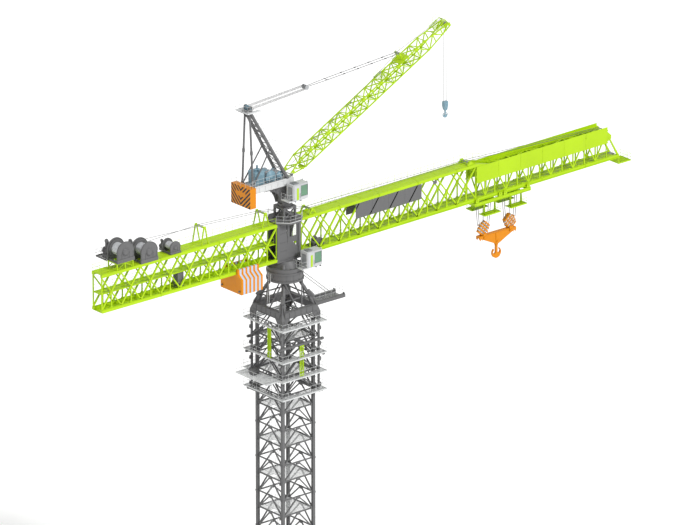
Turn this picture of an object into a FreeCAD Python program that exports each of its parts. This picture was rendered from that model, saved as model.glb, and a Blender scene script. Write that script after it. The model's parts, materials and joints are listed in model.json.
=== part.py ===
"""Tower crane with a luffing assembly crane on its head, as a 1:10 scale model.

Millimetres, +Z up, +X along the main jib, origin under the middle of the base frame.
"""
import FreeCAD, Part
import math
import os

V = FreeCAD.Vector
X_AXIS, Y_AXIS, Z_AXIS = V(1, 0, 0), V(0, 1, 0), V(0, 0, 1)

# ---- clearances -------------------------------------------------------------------------
SEAT_GAP = 0.3            # running gap between a moving piece and what carries it
PIN_GAP = 0.1             # radial gap of a shaft in its bearing
MOVING_GAP = 5.0          # least gap between pieces that pass each other
JOINT_GAP = 2.0           # gap between plates laid side by side

# ---- base and mast ----------------------------------------------------------------------
MAST_WIDTH = 570.0
MAST_POST = 40.0
SECTION_HEIGHT = 500.0
SECTION_COUNT = 8
MID_RAIL_HEIGHT = 270.0   # middle rail above the foot of each section
MAST_BAR = 16.0
PANEL_RIM = 5.0           # edge strip of a lattice panel, laid along the post or chord
BASE_HEIGHT = 60.0
BASE_BEAM = 50.0
FOOT_SIZE = 200.0
FOOT_THICKNESS = 12.0
ANCHOR_SPACING = 150.0
ANCHOR_RADIUS = 4.0
LANDING_THICKNESS = 4.0
LANDING_HATCH = 80.0
LADDER_WIDTH = 45.0
LADDER_RUNG_SPACING = 30.0
LADDER_BAR = 4.0

# ---- climbing frame ---------------------------------------------------------------------
CLIMBING_GAP = 20.0       # between the mast and the climbing frame's posts
CLIMBING_POST = 25.0
CLIMBING_BAR = 12.0
CLIMBING_DROPS = (1000.0, 740.0, 470.0, 20.0)   # platforms, down from the mast's top
PLATFORM_THICKNESS = 6.0
PLATFORM_WIDTH_X = 57.0
PLATFORM_WIDTH_Y = 87.0
BALCONY_WIDTH = 208.0
GUIDE_BEAM = 30.0
GUIDE_OVERHANG = 45.0
GUIDE_DROPS = (1036.0, 300.0)   # foot of the guide beams, down from the mast's top
CYLINDER_RADIUS = 9.0
CYLINDER_SPACING = 28.0

# ---- support under the slewing ring -----------------------------------------------------
SHOULDER = 60.0
SHOULDER_OVERHANG = 5.0   # beyond the climbing posts
SHOULDER_HEIGHT = 310.0
SHOULDER_KINK = 110.0      # height above which the shoulders lean inwards
SHOULDER_LEAN = 67.0
RING_BEAM_DROP = 95.0      # from the shoulders' top to the ring beams' top
RING_BEAM_HEIGHT = 95.0
DRUM_RADIUS = 245.0
DRUM_RISE = 255.0         # from the shoulders' top to the drum
DRUM_HEIGHT = 135.0
DRUM_FLANGE = 10.0
LEG_BAR = 40.0
INTRO_REACH = 950.0
INTRO_SPACING = 200.0
INTRO_BEAM = 45.0
INTRO_DROP = 218.0         # from the shoulders' top to the introduction beams' foot
STAY_RADIUS = 4.0
STAY_FOOT = 800.0

# ---- slewing part -----------------------------------------------------------------------
TURNTABLE_HEIGHT = 160.0
TURNTABLE_PLATE = 20.0
COLUMN_FRONT = 185.0
COLUMN_BACK = 220.0
COLUMN_POST = 40.0
DECK_RADIUS = 250.0
DECK_THICKNESS = 20.0
PEDESTAL_WIDTH = 218.0
PEDESTAL_HEIGHT = 185.0
PEDESTAL_POST = 25.0

# ---- main jib and counter-jib -----------------------------------------------------------
JIB_WIDTH = 220.0
JIB_HEIGHT = 535.0
OUTER_HEIGHT = 455.0
CHORD = 40.0
JIB_BAR = 16.0
PANEL_THICKNESS = 14.0
JIB_RISE = math.tan(math.radians(0.85))
INNER_BAY = 343.0
INNER_BAYS = 9
OUTER_BAY = 393.0
OUTER_BAYS = 6
STEP_LENGTH = 340.0       # where the top chord comes down to the outer height
JIB_NOSE = 220.0          # lower chords beyond the last bay
RAIL_WIDTH = 15.0
RAIL_THICKNESS = 6.0
BRACING_THICKNESS = 10.0
WIND_PLATE_HEIGHT = 235.0
WIND_PLATE_RISE = 35.0     # above the top chords
NAME_BOARD = (1150.0, 2300.0)
NAME_BOARD_HEIGHT = 210.0
PLATE = 4.0               # thin cladding
TIP_PLATFORM_LENGTH = 230.0
TIP_PLATFORM_DROP = 100.0
COUNTER_BAY = 331.5
COUNTER_BAYS = 9
MIDDLE_DECK_RISE = 250.0
BALLAST_START = 565.0
BALLAST_PLATE = 33.3
BALLAST_COUNT = 11
BALLAST_WIDTH = 440.0
BALLAST_HEIGHT = 264.0
BALLAST_EAR = 70.0
BALLAST_EAR_WIDTH = 30.0
BALLAST_SHOULDER = 60.0
CABINET = (1780.0, 1880.0)

# ---- winches and ropes ------------------------------------------------------------------
# (middle of the drum, raised foot height, side plate radius, drum radius, half width)
OUTER_WINCH = (-2804.0, 95.0, 140.0, 105.0, 110.0)
INNER_WINCH = (-2405.0, 0.0, 140.0, 105.0, 110.0)
SMALL_WINCH = (-1948.0, 0.0, 85.0, 62.0, 90.0)
WINCH_PLATE = 14.0
SHAFT_RADIUS = 18.0
TRESTLES = ((-1452.0, 262.0), (-410.0, 212.0))   # place and height of the rope rollers
ROLLERS = ((400.0, 80.0), (3180.0, 48.0))        # the same on the main jib
TRESTLE_SPREAD = 130.0
ROLLER_RADIUS = 12.0
ROPE_SPREAD = 30.0
ROPE_RADIUS = 2.5

# ---- cabs -------------------------------------------------------------------------------
CAB_LENGTH = 255.0
CAB_WIDTH = 145.0
CAB_HEIGHT = 225.0
CAB_WALL = 6.0
GLASS = 3.0
LOWER_CAB_X = 112.0
LOWER_CAB_GAP = 80.0      # between the jib's side and the cab
LOWER_CAB_DROP = 105.0    # the cab's floor below the jib's root
UPPER_CAB_X = -93.0
UPPER_CAB_GAP = 30.0      # between the luffing crane's deck and the cab
UPPER_CAB_DROP = 180.0    # the cab's floor below the deck
CARRIER = 15.0

# ---- trolley and main hook --------------------------------------------------------------
TROLLEY_X = 3725.0
TROLLEY_LENGTH = 1000.0
WHEEL_RADIUS = 14.0
WHEEL_WIDTH = 10.0
AXLE_RADIUS = 5.0
SIDE_PLATE = 8.0
TROLLEY_BEAM = 40.0
TROLLEY_GAP = 20.0        # from the chords' underside to the trolley's cross beams
TROLLEY_PLATFORM = (285.0, 130.0)
TROLLEY_PLATFORM_DROP = 217.0
TROLLEY_PLATFORM_INNER = 70.0   # from the jib's middle to the platforms' inner edge
SHEAVE_RADIUS = 34.0
BLOCK_SPACING = 470.0
BLOCK_TOP_DROP = 382.0    # from the chords' underside to the hook blocks' top
BLOCK_LENGTH = 230.0
BLOCK_HEIGHT = 190.0
BLOCK_THICKNESS = 90.0
EQUALIZER_LENGTH = 650.0
EQUALIZER_HEIGHT = 170.0
EQUALIZER_THICKNESS = 60.0
HOOK_HEIGHT = 215.0
HOOK_RADIUS = 78.0
HOOK_THROAT = 26.0
HOOK_THICKNESS = 30.0

# ---- luffing crane ----------------------------------------------------------------------
LUFFER_RING_RADIUS = 100.0
LUFFER_FRAME_HEIGHT = 320.0
LUFFER_FRAME_HALF = 85.0
BRACKET_BOW = 0.2         # rise of the brackets' curved edge, as a share of its chord
LUFFER_DECK_FRONT = 60.0
LUFFER_DECK_BACK = 660.0
LUFFER_DECK_HALF = 120.0
LUFFER_DECK_HEIGHT = 90.0
LUFFER_WEIGHT_LENGTH = 100.0
LUFFER_WEIGHT_HALF = 200.0
LUFFER_WEIGHT_HEIGHT = 280.0
LUFFER_WEIGHT_DROP = 160.0
POWER_PACK_HEIGHT = 180.0
FOOT_PIN = (38.0, 35.0)   # ahead of the slewing axis, above the deck
FOOT_PIN_RADIUS = 8.0
A_FRAME_BACK = 640.0
A_FRAME_HEIGHT = 1055.0
A_FRAME_HEAD_HALF = 60.0
A_FRAME_BAR = 20.0
LUFFING_LENGTH = 3140.0
LUFFING_ANGLE = 28.3
LUFFING_WIDTH = 175.0
LUFFING_BAR = 12.0
LUFFING_TAPER = 250.0
LUFFING_HEAD_TAPER = 440.0
PENDANT_POST = (2287.0, 192.0)   # along the jib, above its middle line
PENDANT_LENGTH = 1590.0
PENDANT_SPREAD = 45.0
PENDANT_RADIUS = 4.0
EQUALIZER_BLOCK = 40.0
TIP_SHEAVE_RADIUS = 26.0
AUX_ROPE_LENGTH = 1115.0
AUX_BLOCK_HEIGHT = 120.0
AUX_HOOK_HEIGHT = 110.0
AUX_HOOK = (38.0, 13.0, 16.0)   # radius, throat and thickness

# ---- heights and half widths that follow ------------------------------------------------
MAST_HALF = MAST_WIDTH / 2
MAST_TOP = SECTION_HEIGHT * SECTION_COUNT
CLIMBING_INNER = MAST_HALF + CLIMBING_GAP
CLIMBING_HALF = CLIMBING_INNER + CLIMBING_POST
JACK_HALF = CYLINDER_SPACING + CYLINDER_RADIUS
SHOULDER_HALF = CLIMBING_HALF + SHOULDER_OVERHANG
SUPPORT_TOP = MAST_TOP + SHOULDER_HEIGHT
DRUM_BOTTOM = SUPPORT_TOP + DRUM_RISE
DRUM_TOP = DRUM_BOTTOM + DRUM_HEIGHT
SLEW_PLANE = DRUM_TOP + SEAT_GAP
JIB_BOTTOM = SLEW_PLANE + TURNTABLE_HEIGHT
JIB_TOP = JIB_BOTTOM + JIB_HEIGHT
DECK_TOP = JIB_TOP + DECK_THICKNESS
PEDESTAL_TOP = DECK_TOP + PEDESTAL_HEIGHT
LUFFER_BOTTOM = PEDESTAL_TOP + SEAT_GAP
LUFFER_DECK_BOTTOM = LUFFER_BOTTOM + LUFFER_FRAME_HEIGHT
LUFFER_DECK_TOP = LUFFER_DECK_BOTTOM + LUFFER_DECK_HEIGHT
JIB_HALF = JIB_WIDTH / 2
CHORD_INNER = JIB_HALF - CHORD
CHORD_MIDDLE = JIB_HALF - CHORD / 2
INNER_END = COLUMN_FRONT + INNER_BAY * INNER_BAYS
OUTER_END = INNER_END + OUTER_BAY * OUTER_BAYS
JIB_END = OUTER_END + JIB_NOSE
COUNTER_END = -COLUMN_BACK - COUNTER_BAY * COUNTER_BAYS
RAIL_EDGE = JIB_HALF + RAIL_WIDTH
TROLLEY_SHEAVE_Z = -TROLLEY_GAP - TROLLEY_BEAM - SHEAVE_RADIUS * 0.6   # below the chords


# ---- shapes -----------------------------------------------------------------------------
def box(x, y, z):
    """Box between a low and a high value on each axis."""
    return Part.makeBox(x[1] - x[0], y[1] - y[0], z[1] - z[0], V(x[0], y[0], z[0]))


def rod(start, end, radius):
    """Round bar from start to end."""
    return Part.makeCylinder(radius, (end - start).Length, start, end - start)


def prism(points, direction):
    """The flat polygon through the points, pushed along direction."""
    return Part.Face(Part.makePolygon(points + points[:1])).extrude(direction)


def side_prism(outline, y_low, y_high):
    """Outline of (x, z) points, between two values of y."""
    return prism([V(x, y_low, z) for x, z in outline], Y_AXIS * (y_high - y_low))


def beam(start, end, width, height):
    """Bar of rectangular section whose width stays level."""
    along = (end - start).normalize()
    side = Z_AXIS.cross(along)
    if side.Length < 1e-6:
        side = V(0, 1, 0)
    side.normalize()
    up = along.cross(side)
    signs = ((-1, -1), (1, -1), (1, 1), (-1, 1))
    corners = [start + side * (width / 2 * a) + up * (height / 2 * b) for a, b in signs]
    return prism(corners, end - start)


def fuse(shapes):
    """One solid out of shapes that touch or overlap."""
    return shapes[0].multiFuse(shapes[1:]).removeSplitter()


def both_sides(shape):
    """The shape and its mirror image across the plane y = 0."""
    return [shape, shape.mirror(V(0, 0, 0), Y_AXIS)]


def four_corners(shape):
    """The shape in the +X +Y corner, repeated in all four."""
    pair = both_sides(shape)
    return pair + [piece.mirror(V(0, 0, 0), X_AXIS) for piece in pair]


def save(name, shapes):
    """Writes one node."""
    shape = shapes[0] if len(shapes) == 1 else Part.makeCompound(shapes)
    shape.exportStep(f"parts/{name}.step")


# ---- lattice panels ---------------------------------------------------------------------
def signed_area(corners):
    """Area of a polygon, positive when its corners run anticlockwise."""
    pairs = zip(corners, corners[1:] + corners[:1])
    return sum(x0 * y1 - x1 * y0 for (x0, y0), (x1, y1) in pairs) / 2


def inset(corners, halves):
    """Polygon with each edge moved inwards by its own distance."""
    turn = 1 if signed_area(corners) > 0 else -1
    lines = []
    for (x0, y0), (x1, y1), half in zip(corners, corners[1:] + corners[:1], halves):
        length = math.hypot(x1 - x0, y1 - y0)
        dx, dy = (x1 - x0) / length, (y1 - y0) / length
        lines.append((x0 - dy * half * turn, y0 + dx * half * turn, dx, dy))
    moved = []
    for (ax, ay, adx, ady), (bx, by, bdx, bdy) in zip(lines[-1:] + lines[:-1], lines):
        t = ((bx - ax) * bdy - (by - ay) * bdx) / (adx * bdy - ady * bdx)
        moved.append((ax + adx * t, ay + ady * t))
    return moved


def panel(origin, along, across, outline, cells, thickness):
    """Flat lattice centred on the plane through origin.

    A cell is a polygon between the middle lines of its bars, with each bar's half width.
    """
    def wire(points):
        places = [origin + along * s + across * t for s, t in points]
        return Part.makePolygon(places + places[:1])

    wires = [wire(outline)]
    wires += [wire(inset(corners, halves)) for corners, halves in cells]
    face = Part.makeFace(wires, "Part::FaceMakerBullseye")
    normal = along.cross(across).normalize()
    face.translate(normal * (-thickness / 2))
    return face.extrude(normal * thickness)


def peak_cells(half, low, high, bar, rim):
    """A bay whose two bars rise from its feet to the middle of its upper rail."""
    h = bar / 2
    return [
        ([(-half, low), (half, low), (0, high)], (h, h, h)),
        ([(-half, low), (0, high), (-half, high)], (h, h, rim)),
        ([(half, low), (half, high), (0, high)], (rim, h, h)),
    ]


def zigzag_cells(stations, low, high, bar, rim, alternate=True):
    """Bays with a strut at each station and one diagonal each; low and high are functions."""
    h = bar / 2
    cells = []
    for i, (s0, s1) in enumerate(zip(stations, stations[1:])):
        first, second = (low, high) if alternate and i % 2 else (high, low)
        a0, a1 = first(s0), first(s1)
        b0, b1 = second(s0), second(s1)
        cells.append(([(s0, a0), (s1, a1), (s1, b1)], (rim, h, h)))
        cells.append(([(s0, a0), (s1, b1), (s0, b0)], (h, rim, h)))
    return cells


def crossed_cells(stations, low, high, bar, rim):
    """Crossed bars in each bay, with a hanger from each crossing to the lower chord."""
    h = bar / 2
    cells = []
    previous = None
    for s0, s1 in zip(stations, stations[1:]):
        middle = (s0 + s1) / 2
        crossing = (middle, (low(middle) + high(middle)) / 2)
        foot = (middle, low(middle))
        cells.append(([(s0, high(s0)), crossing, (s1, high(s1))], (h, h, rim)))
        cells.append(([(s0, low(s0)), foot, crossing], (rim, h, h)))
        cells.append(([foot, (s1, low(s1)), crossing], (rim, h, h)))
        if previous is None:
            cells.append(([(s0, low(s0)), crossing, (s0, high(s0))], (h, h, bar)))
        else:
            cells.append(([(s0, low(s0)), crossing, (s0, high(s0)), previous], (h, h, h, h)))
        previous = crossing
    cells.append(([(s1, low(s1)), (s1, high(s1)), previous], (h, h, h)))
    return cells


def steps(start, end, count):
    """Evenly spaced stations, both ends included."""
    return [start + (end - start) * i / count for i in range(count + 1)]


# ---- heights of the chords --------------------------------------------------------------
def low(x):
    """Underside of the main jib's lower chords, which rise from the edge of the head deck."""
    return JIB_BOTTOM + max(x - DECK_RADIUS, 0) * JIB_RISE


def high(x):
    """Top of the main jib's upper chords, which come down a step after the inner bays."""
    share = min(max((x - INNER_END) / STEP_LENGTH, 0), 1)
    return low(x) + JIB_HEIGHT + (OUTER_HEIGHT - JIB_HEIGHT) * share


def lattice_low(x):
    return low(x) + CHORD


def lattice_high(x):
    return high(x) - CHORD


# ---- base and mast ----------------------------------------------------------------------
def base_frame():
    middle = MAST_HALF - MAST_POST / 2
    height = (0, BASE_HEIGHT)
    half = BASE_BEAM / 2
    reach = (-middle, middle)
    shapes = []
    for offset in (-middle, 0, middle):
        band = (offset - half, offset + half)
        shapes += [box(reach, band, height), box(band, reach, height)]
    anchor = ANCHOR_SPACING / 2
    for x in (-middle, middle):
        for y in (-middle, middle):
            foot = FOOT_SIZE / 2
            plate = box((x - foot, x + foot), (y - foot, y + foot), (0, FOOT_THICKNESS))
            for dx in (-anchor, anchor):
                for dy in (-anchor, anchor):
                    centre = V(x + dx, y + dy, 0)
                    plate = plate.cut(rod(centre, centre + Z_AXIS * FOOT_THICKNESS, ANCHOR_RADIUS))
            post = MAST_POST / 2 + PANEL_RIM
            shapes += [plate, box((x - post, x + post), (y - post, y + post), height)]
    save("base_frame", [fuse(shapes)])


def mast_posts():
    side = (MAST_HALF - MAST_POST, MAST_HALF)
    save("mast_posts", four_corners(box(side, side, (BASE_HEIGHT, MAST_TOP))))


def mast_sides():
    half = MAST_HALF - MAST_POST
    cells = []
    for i in range(SECTION_COUNT):
        foot = i * SECTION_HEIGHT
        middle = foot + MID_RAIL_HEIGHT
        bottom = foot if i else BASE_HEIGHT
        cells += peak_cells(half, bottom, middle, MAST_BAR, PANEL_RIM)
        cells += peak_cells(half, middle, foot + SECTION_HEIGHT, MAST_BAR, PANEL_RIM)
    outline = [(-half, BASE_HEIGHT), (half, BASE_HEIGHT), (half, MAST_TOP), (-half, MAST_TOP)]
    offset = MAST_HALF - MAST_POST / 2
    front = panel(V(0, -offset, 0), X_AXIS, Z_AXIS, outline, cells, MAST_BAR)
    left = panel(V(-offset, 0, 0), Y_AXIS, Z_AXIS, outline, cells, MAST_BAR)
    save("mast_sides", both_sides(front) + [left, left.mirror(V(0, 0, 0), X_AXIS)])


def mast_landings():
    half = MAST_HALF - MAST_POST
    wall = MAST_HALF - MAST_POST / 2 - MAST_BAR / 2
    plates = []
    for i in range(SECTION_COUNT):
        z = i * SECTION_HEIGHT + MID_RAIL_HEIGHT - LANDING_THICKNESS / 2
        plate = box((-half, half), (-wall, wall), (z, z + LANDING_THICKNESS))
        hatch = box((-half, LANDING_HATCH - half), (-LANDING_HATCH / 2, LANDING_HATCH / 2),
                    (z, z + LANDING_THICKNESS))
        plates.append(plate.cut(hatch))
    save("mast_landings", plates + [mast_ladder(wall)])


def mast_ladder(wall):
    """One long ladder against the rails of the left side."""
    half = LADDER_WIDTH / 2
    top = MAST_TOP - SECTION_HEIGHT / 2
    count = int((top - BASE_HEIGHT) / LADDER_RUNG_SPACING)
    rungs = steps(BASE_HEIGHT, top, count)
    bar = LADDER_BAR / 2
    cells = []
    for z0, z1 in zip(rungs, rungs[1:]):
        cells.append(([(-half, z0), (half, z0), (half, z1), (-half, z1)],
                      (bar, LADDER_BAR, bar, LADDER_BAR)))
    outline = [(-half, BASE_HEIGHT), (half, BASE_HEIGHT), (half, top), (-half, top)]
    place = V(LADDER_BAR / 2 - wall, 0, 0)
    return panel(place, Y_AXIS, Z_AXIS, outline, cells, LADDER_BAR)


# ---- climbing frame ---------------------------------------------------------------------
def climbing_posts():
    side = (CLIMBING_INNER, CLIMBING_HALF)
    bottom = MAST_TOP - CLIMBING_DROPS[0] - PLATFORM_THICKNESS
    save("climbing_posts", four_corners(box(side, side, (bottom, MAST_TOP))))


def climbing_sides():
    levels = [MAST_TOP - drop for drop in CLIMBING_DROPS]
    stations = [levels[0], levels[1], levels[2], (levels[2] + levels[3]) / 2, MAST_TOP]
    cells = []
    for bottom, top in zip(stations, stations[1:]):
        cells += peak_cells(CLIMBING_INNER, bottom, top, CLIMBING_BAR, PANEL_RIM)
    half = CLIMBING_INNER
    outline = [(-half, levels[0]), (half, levels[0]), (half, MAST_TOP), (-half, MAST_TOP)]
    offset = CLIMBING_HALF - CLIMBING_POST / 2
    front = panel(V(0, -offset, 0), X_AXIS, Z_AXIS, outline, cells, CLIMBING_BAR)
    left = panel(V(-offset, 0, 0), Y_AXIS, Z_AXIS, outline, cells, CLIMBING_BAR)
    save("climbing_frame_sides", both_sides(front) + [left, left.mirror(V(0, 0, 0), X_AXIS)])


def climbing_platforms():
    inner = CLIMBING_HALF
    edge_x = inner + PLATFORM_WIDTH_X
    edge_y = inner + PLATFORM_WIDTH_Y
    plates = []
    for number, drop in enumerate(CLIMBING_DROPS, 1):
        top = MAST_TOP - drop
        height = (top - PLATFORM_THICKNESS, top)
        front = box((-edge_x, edge_x), (-edge_y, -inner), height)
        if number == 3:
            front = front.cut(box((-JACK_HALF - JOINT_GAP, JACK_HALF + JOINT_GAP),
                                  (-inner - GUIDE_BEAM, -inner), height))
        reach = inner - JOINT_GAP
        right = box((inner, edge_x), (-reach, reach), height)
        left = box((-edge_x, -inner), (-reach, reach), height)
        if number == 2:
            left = left.fuse(box((-edge_x - BALCONY_WIDTH, -edge_x), (-reach, reach), height))
            left = left.removeSplitter()
        plates += [front, box((-edge_x, edge_x), (inner, edge_y), height), right, left]
    save("climbing_platforms", plates)


def climbing_guides():
    """Box beams laid across the outside of the climbing posts at two levels."""
    inner = CLIMBING_HALF
    reach = inner + GUIDE_OVERHANG
    beams = []
    for drop in GUIDE_DROPS:
        height = (MAST_TOP - drop, MAST_TOP - drop + GUIDE_BEAM)
        beams += both_sides(box((-reach, reach), (-inner - GUIDE_BEAM, -inner), height))
        if drop == GUIDE_DROPS[0]:
            side = box((-inner - GUIDE_BEAM, -inner), (-inner + JOINT_GAP, inner - JOINT_GAP), height)
            beams += [side, side.mirror(V(0, 0, 0), X_AXIS)]
    save("climbing_guide_beams", beams)


def jack(x, y, across, bottom, top):
    """Three cylinders between two crossheads."""
    reach = JACK_HALF
    head = 2 * CYLINDER_RADIUS
    size = V(abs(across.x) * reach + CYLINDER_RADIUS * abs(across.y),
             abs(across.y) * reach + CYLINDER_RADIUS * abs(across.x), 0)
    shapes = []
    for z in (bottom, top - head):
        shapes.append(box((x - size.x, x + size.x), (y - size.y, y + size.y), (z, z + head)))
    for i in (-1, 0, 1):
        foot = V(x, y, bottom) + across * (CYLINDER_SPACING * i)
        shapes.append(rod(foot, foot + Z_AXIS * (top - bottom), CYLINDER_RADIUS))
    return fuse(shapes)


def jacking_cylinders():
    out = CLIMBING_HALF + GUIDE_BEAM / 2
    levels = [MAST_TOP - drop for drop in CLIMBING_DROPS]
    front = jack(0, -out, X_AXIS, levels[1], MAST_TOP - GUIDE_DROPS[1])
    left = jack(-out, -out / 4, Y_AXIS, levels[2], levels[3] - PLATFORM_THICKNESS)
    save("jacking_cylinders", [front, left])


# ---- support ----------------------------------------------------------------------------
def support_shoulders():
    outer = SHOULDER_HALF
    inner = outer - SHOULDER
    gusset = SHOULDER * 1.4
    kink = MAST_TOP + SHOULDER_KINK
    post = box((inner, outer), (inner, outer), (MAST_TOP, kink))
    corner = [V(inner, inner, kink), V(outer, inner, kink), V(outer, outer, kink), V(inner, outer, kink)]
    leaning = prism(corner, V(-SHOULDER_LEAN, -SHOULDER_LEAN, SUPPORT_TOP - kink))
    foot = SUPPORT_TOP - RING_BEAM_DROP - RING_BEAM_HEIGHT
    bottom = MAST_TOP
    thick = SHOULDER / 4
    face_x = [V(inner, outer, bottom), V(inner, outer, foot), V(inner - gusset, outer, foot)]
    face_y = [V(outer, inner, bottom), V(outer, inner, foot), V(outer, inner - gusset, foot)]
    shapes = [post, leaning, prism(face_x, Y_AXIS * -thick), prism(face_y, X_AXIS * -thick)]
    cap = (inner - SHOULDER_LEAN - PANEL_RIM, outer - SHOULDER_LEAN)
    shapes.append(box(cap, cap, (SUPPORT_TOP, SUPPORT_TOP + PLATE)))
    return four_corners(fuse(shapes))


def support_ring():
    outer = SHOULDER_HALF
    inner = outer - SHOULDER
    top = SUPPORT_TOP - RING_BEAM_DROP
    height = (top - RING_BEAM_HEIGHT, top)
    front = box((-inner, inner), (-outer, -inner), height)
    left = box((-outer, -inner), (-inner, inner), height)
    return both_sides(front) + [left, left.mirror(V(0, 0, 0), X_AXIS)]


def support_legs():
    """Raking legs from the shoulders to the underside of the drum."""
    foot = SHOULDER_HALF - SHOULDER_LEAN - SHOULDER / 2
    head = DRUM_RADIUS / 2
    z = SUPPORT_TOP + PLATE
    half = LEG_BAR / 2
    corner = [V(foot - half, foot - half, z), V(foot + half, foot - half, z),
              V(foot + half, foot + half, z), V(foot - half, foot + half, z)]
    shift = V(head - foot, head - foot, DRUM_BOTTOM - z)
    return four_corners(prism(corner, shift))


def support_frame():
    save("support_frame", [fuse(support_shoulders() + support_ring() + support_legs())])


def slewing_drum():
    flange = DRUM_RADIUS + DRUM_FLANGE
    rings = [Part.makeCylinder(DRUM_RADIUS, DRUM_HEIGHT, V(0, 0, DRUM_BOTTOM))]
    for z in (DRUM_BOTTOM, DRUM_TOP - 2 * FOOT_THICKNESS):
        rings.append(Part.makeCylinder(flange, 2 * FOOT_THICKNESS, V(0, 0, z)))
    save("slewing_drum", [fuse(rings)])


def introduction_beams():
    bottom = SUPPORT_TOP - INTRO_DROP
    top = bottom + INTRO_BEAM
    middle = INTRO_SPACING / 2
    half = INTRO_BEAM / 2
    reach = (SHOULDER_HALF, INTRO_REACH)
    walk = box(reach, (half - middle, middle - half), (bottom, bottom + PLATE))
    rails = both_sides(box(reach, (middle - half, middle + half), (bottom, top)))
    foot = V(STAY_FOOT, middle, top)
    head = V(math.sqrt(DRUM_RADIUS ** 2 - middle ** 2) - STAY_RADIUS, middle, DRUM_BOTTOM + DRUM_HEIGHT / 2)
    drum = Part.makeCylinder(DRUM_RADIUS, DRUM_HEIGHT, V(0, 0, DRUM_BOTTOM))
    stays = both_sides(rod(foot, head, STAY_RADIUS).cut(drum))
    save("introduction_beams", [fuse(rails + [walk] + stays)])


# ---- slewing part -----------------------------------------------------------------------
def turntable():
    ring = Part.makeCylinder(DRUM_RADIUS, TURNTABLE_HEIGHT / 3, V(0, 0, SLEW_PLANE))
    cone_height = TURNTABLE_HEIGHT * 2 / 3 - TURNTABLE_PLATE
    cone = Part.makeCone(DRUM_RADIUS - LEG_BAR, JIB_HALF * 1.4, cone_height,
                         V(0, 0, SLEW_PLANE + TURNTABLE_HEIGHT / 3))
    plate = box((-COLUMN_BACK, COLUMN_FRONT), (-JIB_HALF, JIB_HALF),
                (JIB_BOTTOM - TURNTABLE_PLATE, JIB_BOTTOM))
    save("turntable", [fuse([ring, cone, plate])])


def head_column():
    post = []   # the four corner posts
    for x0, x1 in ((-COLUMN_BACK, COLUMN_POST - COLUMN_BACK), (COLUMN_FRONT - COLUMN_POST, COLUMN_FRONT)):
        post += both_sides(box((x0, x1), (CHORD_INNER, JIB_HALF), (JIB_BOTTOM, JIB_TOP)))
    back, front = COLUMN_POST - COLUMN_BACK, COLUMN_FRONT - COLUMN_POST
    middle = (JIB_BOTTOM + JIB_TOP) / 2
    cells = []
    for z0, z1 in ((JIB_BOTTOM, middle), (middle, JIB_TOP)):
        for x0, x1 in zip(steps(back, front, 2), steps(back, front, 2)[1:]):
            cells.append(([(x0, z0), (x1, z0), (x1, z1), (x0, z1)], (CHORD, CHORD / 2, CHORD, CHORD / 2)))
    outline = [(back, JIB_BOTTOM), (front, JIB_BOTTOM), (front, JIB_TOP), (back, JIB_TOP)]
    side = panel(V(0, CHORD_MIDDLE, 0), X_AXIS, Z_AXIS, outline, cells, PANEL_THICKNESS)
    save("head_column", [fuse(post + both_sides(side))])


def head_deck():
    corners = []
    for i in range(8):
        angle = math.radians(22.5 + 45 * i)
        corners.append(V(DECK_RADIUS * math.cos(angle), DECK_RADIUS * math.sin(angle), JIB_TOP))
    return prism(corners, Z_AXIS * DECK_THICKNESS)


def luffing_pedestal():
    half = PEDESTAL_WIDTH / 2
    inner = half - PEDESTAL_POST
    posts = four_corners(box((inner, half), (inner, half), (DECK_TOP, PEDESTAL_TOP)))
    square = (-half, half)
    top = box(square, square, (PEDESTAL_TOP - PEDESTAL_POST, PEDESTAL_TOP))
    middle = half - PEDESTAL_POST / 2
    z0, z1 = DECK_TOP, PEDESTAL_TOP - PEDESTAL_POST
    braces = []
    for y in (-middle, middle):
        for sign in (-1, 1):
            start = V(-middle * sign, y, z0 + PEDESTAL_POST / 2)
            end = V(middle * sign, y, z1)
            braces.append(beam(start, end, JIB_BAR, JIB_BAR))
    save("head_deck_and_pedestal", [fuse([head_deck(), top] + posts + braces)])


# ---- main jib ---------------------------------------------------------------------------
def chord_pair(outline):
    return both_sides(side_prism(outline, CHORD_INNER, JIB_HALF))


def jib_lower_chords():
    bends = [COLUMN_FRONT, DECK_RADIUS, JIB_END]
    outline = [(x, low(x)) for x in bends] + [(x, lattice_low(x)) for x in reversed(bends)]
    chord = side_prism(outline, CHORD_INNER, JIB_HALF)
    x1 = JIB_END
    start = 2 * COLUMN_FRONT
    top = RAIL_THICKNESS
    rail = side_prism([(start, low(start)), (x1, low(x1)), (x1, low(x1) + top), (start, low(start) + top)],
                      JIB_HALF, RAIL_EDGE)
    return both_sides(fuse([chord, rail]))


def jib_chords():
    bends = [COLUMN_FRONT, DECK_RADIUS, INNER_END, INNER_END + STEP_LENGTH, OUTER_END]
    outline = [(x, high(x)) for x in bends] + [(x, lattice_high(x)) for x in reversed(bends)]
    save("jib_chords", jib_lower_chords() + chord_pair(outline))


def jib_sides():
    inner = steps(COLUMN_FRONT, INNER_END, INNER_BAYS)
    knee = INNER_END + STEP_LENGTH
    outer = steps(INNER_END, knee, 2) + steps(knee, OUTER_END, 2 * OUTER_BAYS - 2)[1:]
    cells = crossed_cells(inner, lattice_low, lattice_high, JIB_BAR, PANEL_RIM)
    cells += zigzag_cells(outer, lattice_low, lattice_high, JIB_BAR, PANEL_RIM)
    bends = [COLUMN_FRONT, DECK_RADIUS, INNER_END, knee, OUTER_END]
    outline = [(x, lattice_low(x)) for x in (COLUMN_FRONT, DECK_RADIUS, OUTER_END)]
    outline += [(x, lattice_high(x)) for x in reversed(bends)]
    side = panel(V(0, CHORD_MIDDLE, 0), X_AXIS, Z_AXIS, outline, cells, PANEL_THICKNESS)
    save("jib_sides", both_sides(side))


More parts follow.
